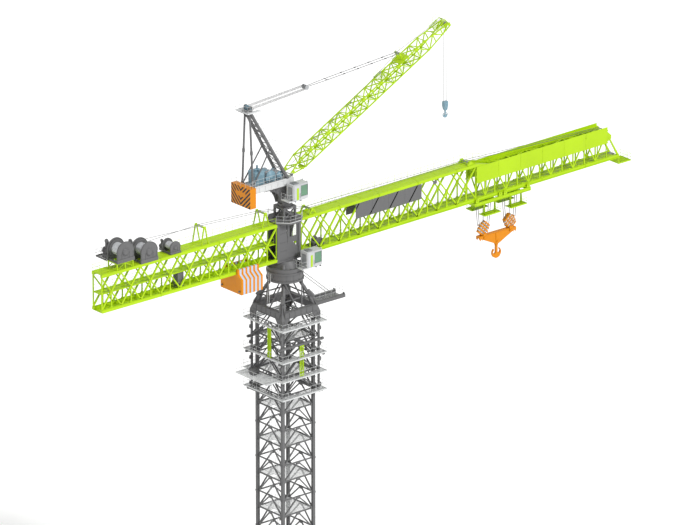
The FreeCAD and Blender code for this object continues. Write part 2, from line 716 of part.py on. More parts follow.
def flat_bracing(start, end, half, bays, bar):
    """Zigzag panel across the jib between two (x, z) points on its middle plane."""
    along = V(end[0] - start[0], 0, end[1] - start[1])
    length = along.Length
    along.normalize()
    stations = steps(0, length, bays)
    cells = zigzag_cells(stations, lambda s: -half, lambda s: half, bar, PANEL_RIM)
    outline = [(0, -half), (length, -half), (length, half), (0, half)]
    return panel(V(start[0], 0, start[1]), along, Y_AXIS, outline, cells, BRACING_THICKNESS)


def jib_bracing():
    depth = CHORD / 2
    knee = INNER_END
    spans = [
        (COLUMN_FRONT, knee - JOINT_GAP, INNER_BAYS),
        (knee, knee + STEP_LENGTH - JOINT_GAP, 1),
        (knee + STEP_LENGTH, OUTER_END, OUTER_BAYS),
    ]
    top = []
    for x0, x1, bays in spans:
        top.append(flat_bracing((x0, high(x0) - depth), (x1, high(x1) - depth), CHORD_INNER, bays, JIB_BAR))
    x0, x1 = COLUMN_FRONT, JIB_END
    bays = INNER_BAYS + OUTER_BAYS + 1
    bottom = flat_bracing((x0, low(x0) + depth), (x1, low(x1) + depth), CHORD_INNER, bays, JIB_BAR)
    save("jib_bracing", top + [bottom])


def name_boards():
    x0, x1 = NAME_BOARD
    top = PANEL_RIM
    bottom = top + NAME_BOARD_HEIGHT
    outline = [(x0, lattice_high(x0) - bottom), (x1, lattice_high(x1) - bottom),
               (x1, lattice_high(x1) - top), (x0, lattice_high(x0) - top)]
    face = CHORD_MIDDLE + PANEL_THICKNESS / 2
    save("name_boards", both_sides(side_prism(outline, face, face + PLATE)))


def wind_plates():
    plates = []
    for i in range(OUTER_BAYS):
        x0 = INNER_END + i * OUTER_BAY + JOINT_GAP / 2
        x1 = x0 + OUTER_BAY - JOINT_GAP
        outline = []
        for x, share in ((x0, 0), (x1, 0), (x1, 1), (x0, 1)):
            top = low(x) + OUTER_HEIGHT + WIND_PLATE_RISE
            outline.append((x, top - WIND_PLATE_HEIGHT * (1 - share)))
        plates += both_sides(side_prism(outline, JIB_HALF, JIB_HALF + PLATE))
    save("wind_plates", plates)


def jib_tip():
    x0, x1 = OUTER_END, JIB_END
    brace = side_prism([(x0, lattice_high(x0)), (x0, lattice_high(x0) - 2 * JIB_BAR),
                        (x1 - 2 * JIB_BAR, lattice_low(x1 - 2 * JIB_BAR)), (x1, lattice_low(x1))],
                       CHORD_MIDDLE - PANEL_THICKNESS / 2, CHORD_MIDDLE + PANEL_THICKNESS / 2)
    deck = low(x1) - TIP_PLATFORM_DROP
    hanger = 2 * MOVING_GAP
    shapes = [box((x1 - hanger, x1 - hanger + TIP_PLATFORM_LENGTH), (-JIB_HALF, JIB_HALF),
                  (deck, deck + PLATFORM_THICKNESS))]
    outline = [(x1 - hanger, deck), (x1, deck), (x1, low(x1)), (x1 - hanger, low(x1 - hanger))]
    shapes += chord_pair(outline)
    save("jib_tip", both_sides(brace) + [fuse(shapes)])


# ---- counter-jib ------------------------------------------------------------------------
def counter_jib():
    back, front = COUNTER_END, -COLUMN_BACK
    chords = []
    for z in (JIB_BOTTOM, JIB_TOP - CHORD):
        chords += both_sides(box((back, front), (CHORD_INNER, JIB_HALF), (z, z + CHORD)))
    save("counter_jib_chords", chords)
    z0, z1 = lattice_low(0), lattice_high(0)
    cells = crossed_cells(steps(back, front, COUNTER_BAYS), lambda x: z0, lambda x: z1, JIB_BAR, PANEL_RIM)
    outline = [(back, z0), (front, z0), (front, z1), (back, z1)]
    side = panel(V(0, CHORD_MIDDLE, 0), X_AXIS, Z_AXIS, outline, cells, PANEL_THICKNESS)
    save("counter_jib_sides", both_sides(side))
    wall = CHORD_MIDDLE - PANEL_THICKNESS / 2
    middle = JIB_BOTTOM + MIDDLE_DECK_RISE
    decks = []
    for half, z in ((CHORD_INNER, JIB_BOTTOM), (wall, middle), (CHORD_INNER, JIB_TOP - PLATFORM_THICKNESS)):
        decks.append(box((back, front), (-half, half), (z, z + PLATFORM_THICKNESS)))
    save("counter_jib_decks", decks)
    foot = JIB_BOTTOM + PLATFORM_THICKNESS
    x0, x1 = -CABINET[1], -CABINET[0]
    save("electrical_cabinet", [box((x0, x1), (-CHORD_INNER * 0.7, CHORD_INNER * 0.7), (foot, middle))])


def ballast():
    half = BALLAST_WIDTH / 2
    top = JIB_BOTTOM
    bottom = top - BALLAST_HEIGHT
    ear_top = top + BALLAST_EAR
    shoulder = top - BALLAST_SHOULDER
    ear = JIB_HALF + BALLAST_EAR_WIDTH
    right = [(half, bottom), (half, shoulder), (ear, top), (ear, ear_top), (JIB_HALF, ear_top), (JIB_HALF, top)]
    outline = right + [(-y, z) for y, z in reversed(right)]
    groups = {"ballast_orange": [], "ballast_pale": []}
    for i in range(BALLAST_COUNT):
        x = -BALLAST_START - BALLAST_PLATE * (i + 1)
        plate = prism([V(x, y, z) for y, z in outline], X_AXIS * BALLAST_PLATE)
        groups["ballast_pale" if i % 2 else "ballast_orange"].append(plate)
    for name, plates in groups.items():
        save(name, plates)


# ---- winches and ropes ------------------------------------------------------------------
def winch_axis(winch):
    """Middle of a winch's drum."""
    x, raised, plate_radius = winch[:3]
    return V(x, 0, JIB_TOP + raised + plate_radius)


def winch_frame(winch):
    """Foot beams and two arched side plates with the drum's bearings."""
    x, raised, radius, _, half = winch
    axis = winch_axis(winch)
    shapes = []
    if raised:
        for y in (-CHORD_MIDDLE, CHORD_MIDDLE):
            shapes.append(box((x - radius, x + radius), (y - CHORD / 2, y + CHORD / 2),
                              (JIB_TOP, JIB_TOP + raised)))
    foot = JIB_TOP + raised
    shapes.append(box((x - radius, x + radius), (-half, half), (foot, foot + WINCH_PLATE)))
    for y in (-half, half - WINCH_PLATE):
        arch = box((x - radius, x + radius), (y, y + WINCH_PLATE), (foot, axis.z))
        round_top = Part.makeCylinder(radius, WINCH_PLATE, V(x, y, axis.z), Y_AXIS)
        shapes += [arch, round_top]
    bearing = Part.makeCylinder(SHAFT_RADIUS + PIN_GAP, 2 * half, V(x, -half, axis.z), Y_AXIS)
    return fuse(shapes).cut(bearing)


def winch_drum(winch):
    """Grooved barrel between flanges, on a shaft that runs in the side plates."""
    x, _, radius, drum_radius, half = winch
    axis = winch_axis(winch)
    inner = half - WINCH_PLATE - MOVING_GAP
    flange = radius - WINCH_PLATE - MOVING_GAP
    shapes = [
        Part.makeCylinder(SHAFT_RADIUS, 2 * half, V(x, -half, axis.z), Y_AXIS),
        Part.makeCylinder(drum_radius, 2 * inner, V(x, -inner, axis.z), Y_AXIS),
    ]
    for y in (-inner, inner - WINCH_PLATE / 2):
        shapes.append(Part.makeCylinder(flange, WINCH_PLATE / 2, V(x, y, axis.z), Y_AXIS))
    return fuse(shapes)


def winches():
    save("winch_frames", [winch_frame(w) for w in (OUTER_WINCH, INNER_WINCH, SMALL_WINCH)])
    save("outer_winch_drum", [winch_drum(OUTER_WINCH)])
    save("inner_winch_drum", [winch_drum(INNER_WINCH)])
    save("small_winch_drum", [winch_drum(SMALL_WINCH)])
    motors = []
    for winch in (OUTER_WINCH, INNER_WINCH, SMALL_WINCH):
        x, _, radius, drum_radius, half = winch
        axis = winch_axis(winch)
        away = drum_radius * 0.5
        start = V(x - away, half, axis.z - radius * 0.35)
        motors.append(rod(start, start + Y_AXIS * radius, radius * 0.35))
    save("winch_motors", motors)


def top_of_chords(x):
    """Top of the chords under a trestle, at the higher end of its feet."""
    return high(x + TRESTLE_SPREAD / 2) if x > 0 else JIB_TOP


def trestle(x, height):
    """Two A-shaped legs joined by the shaft of the rope rollers."""
    foot, head = TRESTLE_SPREAD / 2, JIB_BAR
    base = top_of_chords(x)
    outline = [(-foot, 0), (foot, 0), (head, height), (-head, height)]
    apex = height - 2 * JIB_BAR
    leg = JIB_BAR * 0.6
    cells = []
    if height > 4 * JIB_BAR:
        cells.append(([(-foot, 0), (foot, 0), (head, apex), (-head, apex)], (leg, leg, 0, leg)))
    legs = both_sides(panel(V(x, CHORD_MIDDLE, base), X_AXIS, Z_AXIS, outline, cells, JIB_BAR))
    axis = base + height - JIB_BAR
    shaft = rod(V(x, -CHORD_MIDDLE, axis), V(x, CHORD_MIDDLE, axis), ROLLER_RADIUS)
    return fuse(legs + [shaft])


def trestles():
    save("rope_trestles", [trestle(x, height) for x, height in TRESTLES + ROLLERS])


def hoist_ropes():
    """Two taut ropes from the winches over the trestles and along the jib's top to its end."""
    ropes = []
    roller = ROLLER_RADIUS + ROPE_RADIUS + SEAT_GAP
    inner, outer = winch_axis(INNER_WINCH), winch_axis(OUTER_WINCH)
    lift = ROPE_RADIUS + SEAT_GAP
    tops = [V(x, 0, top_of_chords(x) + height - JIB_BAR + roller) for x, height in TRESTLES + ROLLERS]
    end = V(OUTER_END - CHORD, 0, high(OUTER_END - CHORD) + lift + ROPE_RADIUS)
    for drum, radius, y in ((outer, OUTER_WINCH[3], -ROPE_SPREAD), (inner, INNER_WINCH[3], ROPE_SPREAD)):
        start = V(drum.x, y, drum.z + radius + lift)
        points = [start] + [V(p.x, y, p.z) for p in tops + [end]]
        pieces = []
        for a, b in zip(points, points[1:]):
            pieces.append(rod(a, b, ROPE_RADIUS))
        for point in points[1:-1]:
            pieces.append(Part.makeSphere(ROPE_RADIUS, point))
        ropes.append(fuse(pieces))
    save("hoist_ropes", ropes)


# ---- cabs -------------------------------------------------------------------------------
def cab(corner):
    """Hollow cab with windows to the front and on its outer side, and its panes."""
    x0, y0, z0 = corner.x, corner.y, corner.z
    x1, y1, z1 = x0 + CAB_LENGTH, y0 + CAB_WIDTH, z0 + CAB_HEIGHT
    wall = CAB_WALL
    nose = CAB_HEIGHT / 5
    outline = [(x0, z0), (x1 - nose, z0), (x1, z0 + nose), (x1, z1), (x0, z1)]
    inner = inset(outline, [wall] * 5)
    shell = side_prism(outline, y0, y1).cut(side_prism(inner, y0 + wall, y1 - wall))
    sill, head = z0 + nose + wall, z1 - 4 * wall
    front = ((x1 - wall, x1), (y0 + 2 * wall, y1 - 2 * wall), (sill, head))
    side = ((x0 + CAB_LENGTH / 2, x1 - 2 * wall), (y0, y0 + wall), (sill, head))
    rear_side = ((x0 + 4 * wall, x0 + CAB_LENGTH / 2 - 2 * wall), (y0, y0 + wall), (sill + 8 * wall, head))
    panes = []
    inset_glass = (wall - GLASS) / 2
    for x, y, z in (front, side, rear_side):
        shell = shell.cut(box(x, y, z))
        if x[1] - x[0] > wall:
            y = (y[0] + inset_glass, y[0] + inset_glass + GLASS)
        else:
            x = (x[0] + inset_glass, x[0] + inset_glass + GLASS)
        panes.append(box(x, y, z))
    return shell, panes


def lower_cab():
    outer = -JIB_HALF - LOWER_CAB_GAP
    corner = V(LOWER_CAB_X, outer - CAB_WIDTH, JIB_BOTTOM - LOWER_CAB_DROP)
    shell, panes = cab(corner)
    save("lower_cab_shell", [shell])
    save("lower_cab_glass", panes)
    brackets = []
    for x in (DRUM_RADIUS + CARRIER, LOWER_CAB_X + CAB_LENGTH - 2 * CARRIER):
        top = (corner.z - CARRIER, corner.z)
        arm = box((x, x + CARRIER), (corner.y, -CHORD_INNER), top)
        hanger = side_prism([(x, corner.z - CARRIER), (x + CARRIER, corner.z - CARRIER),
                             (x + CARRIER, low(x + CARRIER)), (x, low(x))],
                            -CHORD_INNER - CARRIER, -CHORD_INNER)
        brackets.append(fuse([arm, hanger]))
    save("lower_cab_carrier", brackets)


def upper_cab_corner():
    """Lowest corner of the cab beside the luffing crane's deck."""
    side = -LUFFER_DECK_HALF - UPPER_CAB_GAP - CAB_WIDTH
    return V(UPPER_CAB_X, side, LUFFER_DECK_BOTTOM - UPPER_CAB_DROP)


def upper_cab():
    shell, panes = cab(upper_cab_corner())
    save("upper_cab_shell", [shell])
    save("upper_cab_glass", panes)


# ---- trolley and main hook --------------------------------------------------------------
def on_chord(shape):
    """Moves a shape from the trolley's own frame to its place under the sloping chords."""
    slope = math.degrees(math.atan(JIB_RISE))
    shape.rotate(V(0, 0, 0), Y_AXIS, -slope)
    shape.translate(V(TROLLEY_X, 0, low(TROLLEY_X)))
    return shape


def trolley():
    """The chords' underside is z = 0 here; the wheels stand on the chords' outer rails."""
    plate_inner = RAIL_EDGE + MOVING_GAP
    plate_outer = plate_inner + SIDE_PLATE
    half = TROLLEY_LENGTH / 2
    beam_top = -TROLLEY_GAP
    beam_bottom = beam_top - TROLLEY_BEAM
    axle_z = RAIL_THICKNESS + WHEEL_RADIUS + SEAT_GAP
    shapes = both_sides(box((-half, half), (plate_inner, plate_outer), (beam_bottom, beam_top)))
    wheel_y = JIB_HALF + MOVING_GAP
    for x in (-half + 3 * WHEEL_RADIUS, -3 * WHEEL_RADIUS, 3 * WHEEL_RADIUS, half - 3 * WHEEL_RADIUS):
        cheek = box((x - 2 * WHEEL_RADIUS, x + 2 * WHEEL_RADIUS), (plate_inner, plate_outer),
                    (beam_top, axle_z + WHEEL_RADIUS))
        wheel = Part.makeCylinder(WHEEL_RADIUS, WHEEL_WIDTH, V(x, wheel_y, axle_z), Y_AXIS)
        axle = Part.makeCylinder(AXLE_RADIUS, plate_outer - wheel_y, V(x, wheel_y, axle_z), Y_AXIS)
        shapes += both_sides(fuse([cheek, axle, wheel]))
    for x in (-half, -BLOCK_SPACING / 2 - TROLLEY_BEAM / 2, BLOCK_SPACING / 2 - TROLLEY_BEAM / 2,
              half - TROLLEY_BEAM):
        shapes.append(box((x, x + TROLLEY_BEAM), (-plate_inner, plate_inner), (beam_bottom, beam_top)))
    for x in (-BLOCK_SPACING / 2, BLOCK_SPACING / 2):
        centre = V(x, -3 * WHEEL_WIDTH, TROLLEY_SHEAVE_Z)
        shapes.append(Part.makeCylinder(SHEAVE_RADIUS, 6 * WHEEL_WIDTH, centre, Y_AXIS))
    save("trolley_frame", [on_chord(fuse(shapes))])
    length, width = TROLLEY_PLATFORM
    platforms = []
    for x in (-BLOCK_SPACING / 2, BLOCK_SPACING / 2):
        y = TROLLEY_PLATFORM_INNER
        deck = -TROLLEY_PLATFORM_DROP
        shapes = [box((x - length / 2, x + length / 2), (y, y + width), (deck, deck + PLATFORM_THICKNESS))]
        for side in (-1, 1):
            foot = x + side * length / 3
            shapes.append(box((foot - PLATFORM_THICKNESS, foot + PLATFORM_THICKNESS),
                              (plate_inner, plate_outer), (deck, beam_bottom)))
        platforms += both_sides(fuse(shapes))
    save("trolley_platforms", [on_chord(piece) for piece in platforms])


def main_hoist():
    under = low(TROLLEY_X)
    block_top = under - BLOCK_TOP_DROP
    block_bottom = block_top - BLOCK_HEIGHT
    ropes, blocks = [], []
    half, thick = BLOCK_LENGTH / 2, BLOCK_THICKNESS / 2
    cut = BLOCK_HEIGHT / 4
    fall = SHEAVE_RADIUS + ROPE_RADIUS + SEAT_GAP
    for offset in (-BLOCK_SPACING / 2, BLOCK_SPACING / 2):
        sheave = on_chord(Part.Vertex(V(offset, 0, TROLLEY_SHEAVE_Z))).Point
        for dx in (-fall, fall):
            for dy in (-WHEEL_WIDTH * 2, WHEEL_WIDTH * 2):
                place = V(sheave.x + dx, dy, block_top)
                ropes.append(rod(place, V(place.x, place.y, sheave.z), ROPE_RADIUS))
        x = TROLLEY_X + offset
        outline = [(x - half + cut, block_bottom), (x + half - cut, block_bottom), (x + half, block_bottom + cut),
                   (x + half, block_top - cut / 2), (x + half - cut / 2, block_top),
                   (x - half + cut / 2, block_top), (x - half, block_top - cut / 2), (x - half, block_bottom + cut)]
        blocks.append(side_prism(outline, -thick, thick))
    save("main_hoist_ropes", ropes)
    save("hook_blocks", blocks)
    reach = EQUALIZER_LENGTH / 2
    top, bottom = block_bottom, block_bottom - EQUALIZER_HEIGHT
    neck = HOOK_THICKNESS
    outline = [(TROLLEY_X - reach, top - neck), (TROLLEY_X - neck, bottom), (TROLLEY_X + neck, bottom),
               (TROLLEY_X + reach, top - neck), (TROLLEY_X + reach, top), (TROLLEY_X - reach, top)]
    save("equalizer_beam", [side_prism(outline, -EQUALIZER_THICKNESS / 2, EQUALIZER_THICKNESS / 2)])
    save("main_hook", [ramshorn(V(TROLLEY_X, 0, bottom - SEAT_GAP), HOOK_HEIGHT, HOOK_RADIUS,
                                HOOK_THROAT, HOOK_THICKNESS)])


def ramshorn(top, height, radius, throat, thickness):
    """Double hook: a round plate with two throats that open upwards, under a shank."""
    centre = V(top.x, -thickness / 2, top.z - height + radius)
    plate = Part.makeCylinder(radius, thickness, centre, Y_AXIS)
    shank = thickness / 2
    for side in (-1, 1):
        middle = centre + V(side * (shank + throat), 0, throat / 2)
        plate = plate.cut(Part.makeCylinder(throat, thickness, middle, Y_AXIS))
        x0, x1 = sorted((middle.x - side * throat, middle.x + side * throat * 0.4))
        plate = plate.cut(box((x0, x1), (-thickness / 2, thickness / 2), (middle.z, middle.z + radius)))
    post = box((top.x - shank, top.x + shank), (-thickness / 2, thickness / 2), (centre.z, top.z))
    collar = Part.makeCylinder(thickness, thickness / 2, V(top.x, 0, top.z - thickness / 2))
    return fuse([plate, post, collar])


# ---- luffing crane ----------------------------------------------------------------------
def luffer_frame():
    """Ring, middle box and two curved side brackets under the deck."""
    z0, z1 = LUFFER_BOTTOM, LUFFER_DECK_BOTTOM
    ring_top = z0 + LUFFER_FRAME_HEIGHT / 8
    radius = LUFFER_RING_RADIUS
    back = -LUFFER_DECK_BACK * 0.65
    lip = z1 - PEDESTAL_POST
    low_back, top_back = V(-radius, 0, ring_top), V(back, 0, lip)
    chord = low_back - top_back
    bow = (top_back + low_back) * 0.5 + V(-chord.z, 0, chord.x) * BRACKET_BOW
    edges = [
        Part.LineSegment(V(radius * 0.9, 0, ring_top), V(LUFFER_DECK_FRONT, 0, z1)).toShape(),
        Part.LineSegment(V(LUFFER_DECK_FRONT, 0, z1), V(back, 0, z1)).toShape(),
        Part.LineSegment(V(back, 0, z1), top_back).toShape(),
        Part.Arc(top_back, bow, low_back).toShape(),
        Part.LineSegment(low_back, V(radius * 0.9, 0, ring_top)).toShape(),
    ]
    face = Part.Face(Part.Wire(edges))
    thick = CARRIER
    face.translate(Y_AXIS * (LUFFER_FRAME_HALF - thick))
    cheeks = both_sides(face.extrude(Y_AXIS * thick))
    ring = Part.makeCylinder(radius, ring_top - z0, V(0, 0, z0))
    inner = LUFFER_FRAME_HALF - thick
    middle = box((-radius * 0.8, LUFFER_DECK_FRONT * 0.8), (-inner, inner), (ring_top, z1))
    cab_floor = upper_cab_corner()
    arms = []
    for x in (-4 * CARRIER, 2 * CARRIER):
        arms.append(box((x, x + CARRIER), (cab_floor.y, -LUFFER_FRAME_HALF),
                        (cab_floor.z - CARRIER, cab_floor.z)))
    save("luffer_frame", [fuse(cheeks + [ring, middle] + arms)])


def luffer_deck():
    half = LUFFER_DECK_HALF
    deck = box((-LUFFER_DECK_BACK, LUFFER_DECK_FRONT), (-half, half), (LUFFER_DECK_BOTTOM, LUFFER_DECK_TOP))
    back = -LUFFER_DECK_BACK
    bottom = LUFFER_DECK_BOTTOM - LUFFER_WEIGHT_DROP
    wide = LUFFER_WEIGHT_HALF
    save("luffer_counterweight", [box((back - LUFFER_WEIGHT_LENGTH, back), (-wide, wide),
                                      (bottom, bottom + LUFFER_WEIGHT_HEIGHT))])
    x, rise = FOOT_PIN
    pin = V(x, 0, LUFFER_DECK_TOP + rise)
    inner = LUFFING_WIDTH / 2 + JOINT_GAP
    thick = LUFFING_BAR
    ear = box((x - 2 * FOOT_PIN_RADIUS, LUFFER_DECK_FRONT), (inner, inner + thick),
              (LUFFER_DECK_TOP, pin.z + 2 * FOOT_PIN_RADIUS))
    shaft = rod(pin - Y_AXIS * (inner + thick), pin + Y_AXIS * (inner + thick), FOOT_PIN_RADIUS)
    save("luffer_deck", [fuse(both_sides(ear) + [deck, shaft])])


def luffer_machinery():
    """Power pack and two winches that stay inside the A-frame."""
    top = LUFFER_DECK_TOP
    half = LUFFER_DECK_HALF * 0.6
    pack = box((-0.86 * LUFFER_DECK_BACK, -0.62 * LUFFER_DECK_BACK), (-half, half), (top, top + POWER_PACK_HEIGHT))
    pieces = [pack]
    for x, radius in ((-0.46 * LUFFER_DECK_BACK, 70), (-0.22 * LUFFER_DECK_BACK, 50)):
        centre = V(x, -half, top + radius + CARRIER)
        barrel = Part.makeCylinder(radius, 2 * half, centre, Y_AXIS)
        foot = box((x - radius / 2, x + radius / 2), (-half, half), (top, centre.z))
        pieces.append(fuse([barrel, foot]))
    save("luffer_machinery", pieces)


def a_frame_panel(foot_x, struts):
    """Leaning frame from the deck to the head: two legs with struts between them."""
    foot = V(foot_x, 0, LUFFER_DECK_TOP)
    head = V(-A_FRAME_BACK, 0, LUFFER_DECK_TOP + A_FRAME_HEIGHT)
    along = head - foot
    length = along.Length
    along.normalize()
    wide, narrow = LUFFER_DECK_HALF, A_FRAME_HEAD_HALF
    rate = (narrow - wide) / length

    def edge(s):
        return wide + rate * s

    stations = [-2 * A_FRAME_BAR] + [length * share for share in struts] + [length]
    cells = []
    for s0, s1 in zip(stations, stations[1:]):
        corners = [(s0, -edge(s0)), (s1, -edge(s1)), (s1, edge(s1)), (s0, edge(s0))]
        cells.append((corners, (A_FRAME_BAR, A_FRAME_BAR / 2, A_FRAME_BAR, A_FRAME_BAR / 2)))
    first = A_FRAME_BAR / 2 * abs(along.x) / along.z
    outline = [(first, -edge(0)), (length, -narrow), (length, narrow), (first, edge(0))]
    cells[0] = ([(first, -edge(0)), (stations[1], -edge(stations[1])), (stations[1], edge(stations[1])),
                 (first, edge(0))], (A_FRAME_BAR, A_FRAME_BAR / 2, A_FRAME_BAR, A_FRAME_BAR / 2))
    return panel(foot, along, Y_AXIS, outline, cells, A_FRAME_BAR)


def a_frame():
    front = a_frame_panel(-2 * A_FRAME_BAR, (0.35, 0.7))
    back = a_frame_panel(-A_FRAME_BACK, (0.93,))
    head_z = LUFFER_DECK_TOP + A_FRAME_HEIGHT
    x = -A_FRAME_BACK
    half = A_FRAME_HEAD_HALF
    deck = box((x - 5 * A_FRAME_BAR, x + A_FRAME_BAR * 1.5), (-half - A_FRAME_BAR, half + A_FRAME_BAR),
               (head_z, head_z + PLATFORM_THICKNESS))
    sheave = Part.makeCylinder(1.5 * A_FRAME_BAR, 4 * A_FRAME_BAR,
                               V(x + A_FRAME_BAR / 2, -2 * A_FRAME_BAR, head_z + 2.2 * A_FRAME_BAR), Y_AXIS)
    ears = both_sides(box((x - A_FRAME_BAR / 2, x + 1.5 * A_FRAME_BAR), (2 * A_FRAME_BAR, 2.5 * A_FRAME_BAR),
                          (head_z, head_z + 3 * A_FRAME_BAR)))
    save("a_frame", [fuse([front, back, deck, sheave] + ears)])


def jib_axes():
    """Foot, direction along the luffing jib and direction across it, in the plane y = 0."""
    angle = math.radians(LUFFING_ANGLE)
    foot = V(FOOT_PIN[0], 0, LUFFER_DECK_TOP + FOOT_PIN[1])
    return foot, V(math.cos(angle), 0, math.sin(angle)), V(-math.sin(angle), 0, math.cos(angle))


def jib_half(s):
    """Half height of the luffing jib at distance s from its foot pin."""
    full = LUFFING_WIDTH / 2
    foot, tip = 2 * FOOT_PIN_RADIUS, 2 * FOOT_PIN_RADIUS + LUFFING_BAR
    if s < LUFFING_TAPER:
        return foot + (full - foot) * max(s, 0) / LUFFING_TAPER
    left = LUFFING_LENGTH - s
    return min(full, tip + (full - tip) * left / LUFFING_HEAD_TAPER)


def luffing_jib():
    foot, along, up = jib_axes()
    knee = LUFFING_LENGTH - LUFFING_HEAD_TAPER
    body = steps(LUFFING_TAPER, knee, 14)
    stations = [LUFFING_TAPER / 4] + body + steps(knee, LUFFING_LENGTH - LUFFING_BAR, 3)[1:]
    rim = LUFFING_BAR
    cells = zigzag_cells(stations, lambda s: -jib_half(s), jib_half, LUFFING_BAR, rim)
    start = -2 * FOOT_PIN_RADIUS
    bends = [start, 0, LUFFING_TAPER, knee, LUFFING_LENGTH - start]
    outline = [(s, -jib_half(s)) for s in bends] + [(s, jib_half(s)) for s in reversed(bends)]
    half = LUFFING_WIDTH / 2
    middle = half - LUFFING_BAR / 2
    side = panel(foot + Y_AXIS * middle, along, up, outline, cells, LUFFING_BAR)
    hole = rod(foot - Y_AXIS * half, foot + Y_AXIS * half, FOOT_PIN_RADIUS + PIN_GAP)
    side = side.cut(hole)
    save("luffing_jib_sides", both_sides(side))
    inner = half - LUFFING_BAR
    faces = []
    for sign in (-1, 1):
        height = sign * (half - LUFFING_BAR / 2)
        origin = foot + up * height
        lattice = zigzag_cells(body, lambda s: -inner, lambda s: inner, LUFFING_BAR, PANEL_RIM)
        frame = [(body[0], -inner), (body[-1], -inner), (body[-1], inner), (body[0], inner)]
        faces.append(panel(origin, along, Y_AXIS, frame, lattice, LUFFING_BAR))
    spacers = []
    for s in (LUFFING_TAPER / 2, (knee + LUFFING_LENGTH) / 2, LUFFING_LENGTH - 6 * LUFFING_BAR):
        centre = foot + along * s
        spacers.append(rod(centre - Y_AXIS * inner, centre + Y_AXIS * inner, LUFFING_BAR / 2))
    save("luffing_jib_cross_bracing", faces + spacers)


def pendants():
    foot, along, up = jib_axes()
    reach, rise = PENDANT_POST
    top = foot + along * reach + up * rise
    half = LUFFING_WIDTH / 2
    shapes = []
    for y in (-PENDANT_SPREAD, PENDANT_SPREAD):
        root = foot + along * reach + up * half + Y_AXIS * y
        shapes.append(beam(root, top + Y_AXIS * y + up * LUFFING_BAR, LUFFING_BAR, 2 * LUFFING_BAR))
    plate_origin = foot + along * (reach - LUFFING_WIDTH / 2) + up * half
    corners = [plate_origin + Y_AXIS * y + along * s
               for s, y in ((0, -half), (LUFFING_WIDTH, -half), (LUFFING_WIDTH, half), (0, half))]
    shapes.append(prism(corners, up * PLATFORM_THICKNESS))
    axle = rod(top - Y_AXIS * (PENDANT_SPREAD + LUFFING_BAR), top + Y_AXIS * (PENDANT_SPREAD + LUFFING_BAR),
               LUFFING_BAR / 2)
    save("pendant_post", [fuse(shapes + [axle])])
    head = a_frame_top()
    line = (head - top).normalize()
    near, far = top + line * (LUFFING_BAR / 2 + SEAT_GAP), top + line * PENDANT_LENGTH
    bars = []
    for y in (LUFFING_BAR - PENDANT_SPREAD, PENDANT_SPREAD - LUFFING_BAR):
        bars.append(rod(near + Y_AXIS * y, far + Y_AXIS * y, PENDANT_RADIUS))
    wide = PENDANT_SPREAD + 2 * PENDANT_RADIUS
    block = beam(far, far + line * EQUALIZER_BLOCK, 2 * wide, EQUALIZER_BLOCK / 2)
    save("pendants", [fuse(bars + [block])])
    ropes = []
    start = far + line * EQUALIZER_BLOCK
    for y in (-PENDANT_SPREAD, -PENDANT_SPREAD / 3, PENDANT_SPREAD / 3, PENDANT_SPREAD):
        ropes.append(rod(start + Y_AXIS * y, head - line * 1.6 * A_FRAME_BAR + Y_AXIS * y, ROPE_RADIUS))
    save("luffing_ropes", ropes)


def a_frame_top():
    """Axle of the sheaves on the A-frame's head."""
    return V(A_FRAME_BAR / 2 - A_FRAME_BACK, 0, LUFFER_DECK_TOP + A_FRAME_HEIGHT + 2.2 * A_FRAME_BAR)


def aux_hoist():
    """Rope, block and hook that hang plumb from the luffing jib's tip."""
    foot, along, up = jib_axes()
    tip = foot + along * LUFFING_LENGTH
    radius = TIP_SHEAVE_RADIUS
    inner = LUFFING_WIDTH / 2 - LUFFING_BAR
    seat = Y_AXIS * (inner - SEAT_GAP)
    axle = rod(tip - seat, tip + seat, FOOT_PIN_RADIUS)
    sheave = Part.makeCylinder(radius, 2 * WHEEL_WIDTH, tip - Y_AXIS * WHEEL_WIDTH, Y_AXIS)
    save("aux_tip_sheave", [fuse([sheave, axle])])
    block_top = tip.z - AUX_ROPE_LENGTH
    fall = radius + ROPE_RADIUS + SEAT_GAP
    ropes = []
    for x in (-fall, fall):
        ropes.append(rod(V(tip.x + x, 0, block_top), V(tip.x + x, 0, tip.z), ROPE_RADIUS))
    save("aux_hoist_ropes", ropes)
    half = radius * 1.3
    outline = [(tip.x - half / 2, block_top - AUX_BLOCK_HEIGHT), (tip.x + half / 2, block_top - AUX_BLOCK_HEIGHT),
               (tip.x + half, block_top - AUX_BLOCK_HEIGHT / 2), (tip.x + half, block_top),
               (tip.x - half, block_top), (tip.x - half, block_top - AUX_BLOCK_HEIGHT / 2)]
    save("aux_hook_block", [side_prism(outline, -radius, radius)])
    hook_top = V(tip.x, 0, block_top - AUX_BLOCK_HEIGHT - SEAT_GAP)
    save("aux_hook", [ramshorn(hook_top, AUX_HOOK_HEIGHT, *AUX_HOOK)])


def build():
    os.makedirs("parts", exist_ok=True)
    base_frame()
    mast_posts()
    mast_sides()
    mast_landings()
    climbing_posts()
    climbing_sides()
    climbing_platforms()
    climbing_guides()
    jacking_cylinders()
    support_frame()
    slewing_drum()
    introduction_beams()
    turntable()
    head_column()
    luffing_pedestal()
    jib_chords()
    jib_sides()
    jib_bracing()
    name_boards()
    wind_plates()
    jib_tip()
    counter_jib()
    ballast()
    winches()
    trestles()
    hoist_ropes()
    lower_cab()
    upper_cab()
    trolley()
    main_hoist()
    luffer_frame()
    luffer_deck()
    luffer_machinery()
    a_frame()
    luffing_jib()
    pendants()
    aux_hoist()


build()
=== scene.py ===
import json
import math

import bpy
from mathutils import Matrix, Vector

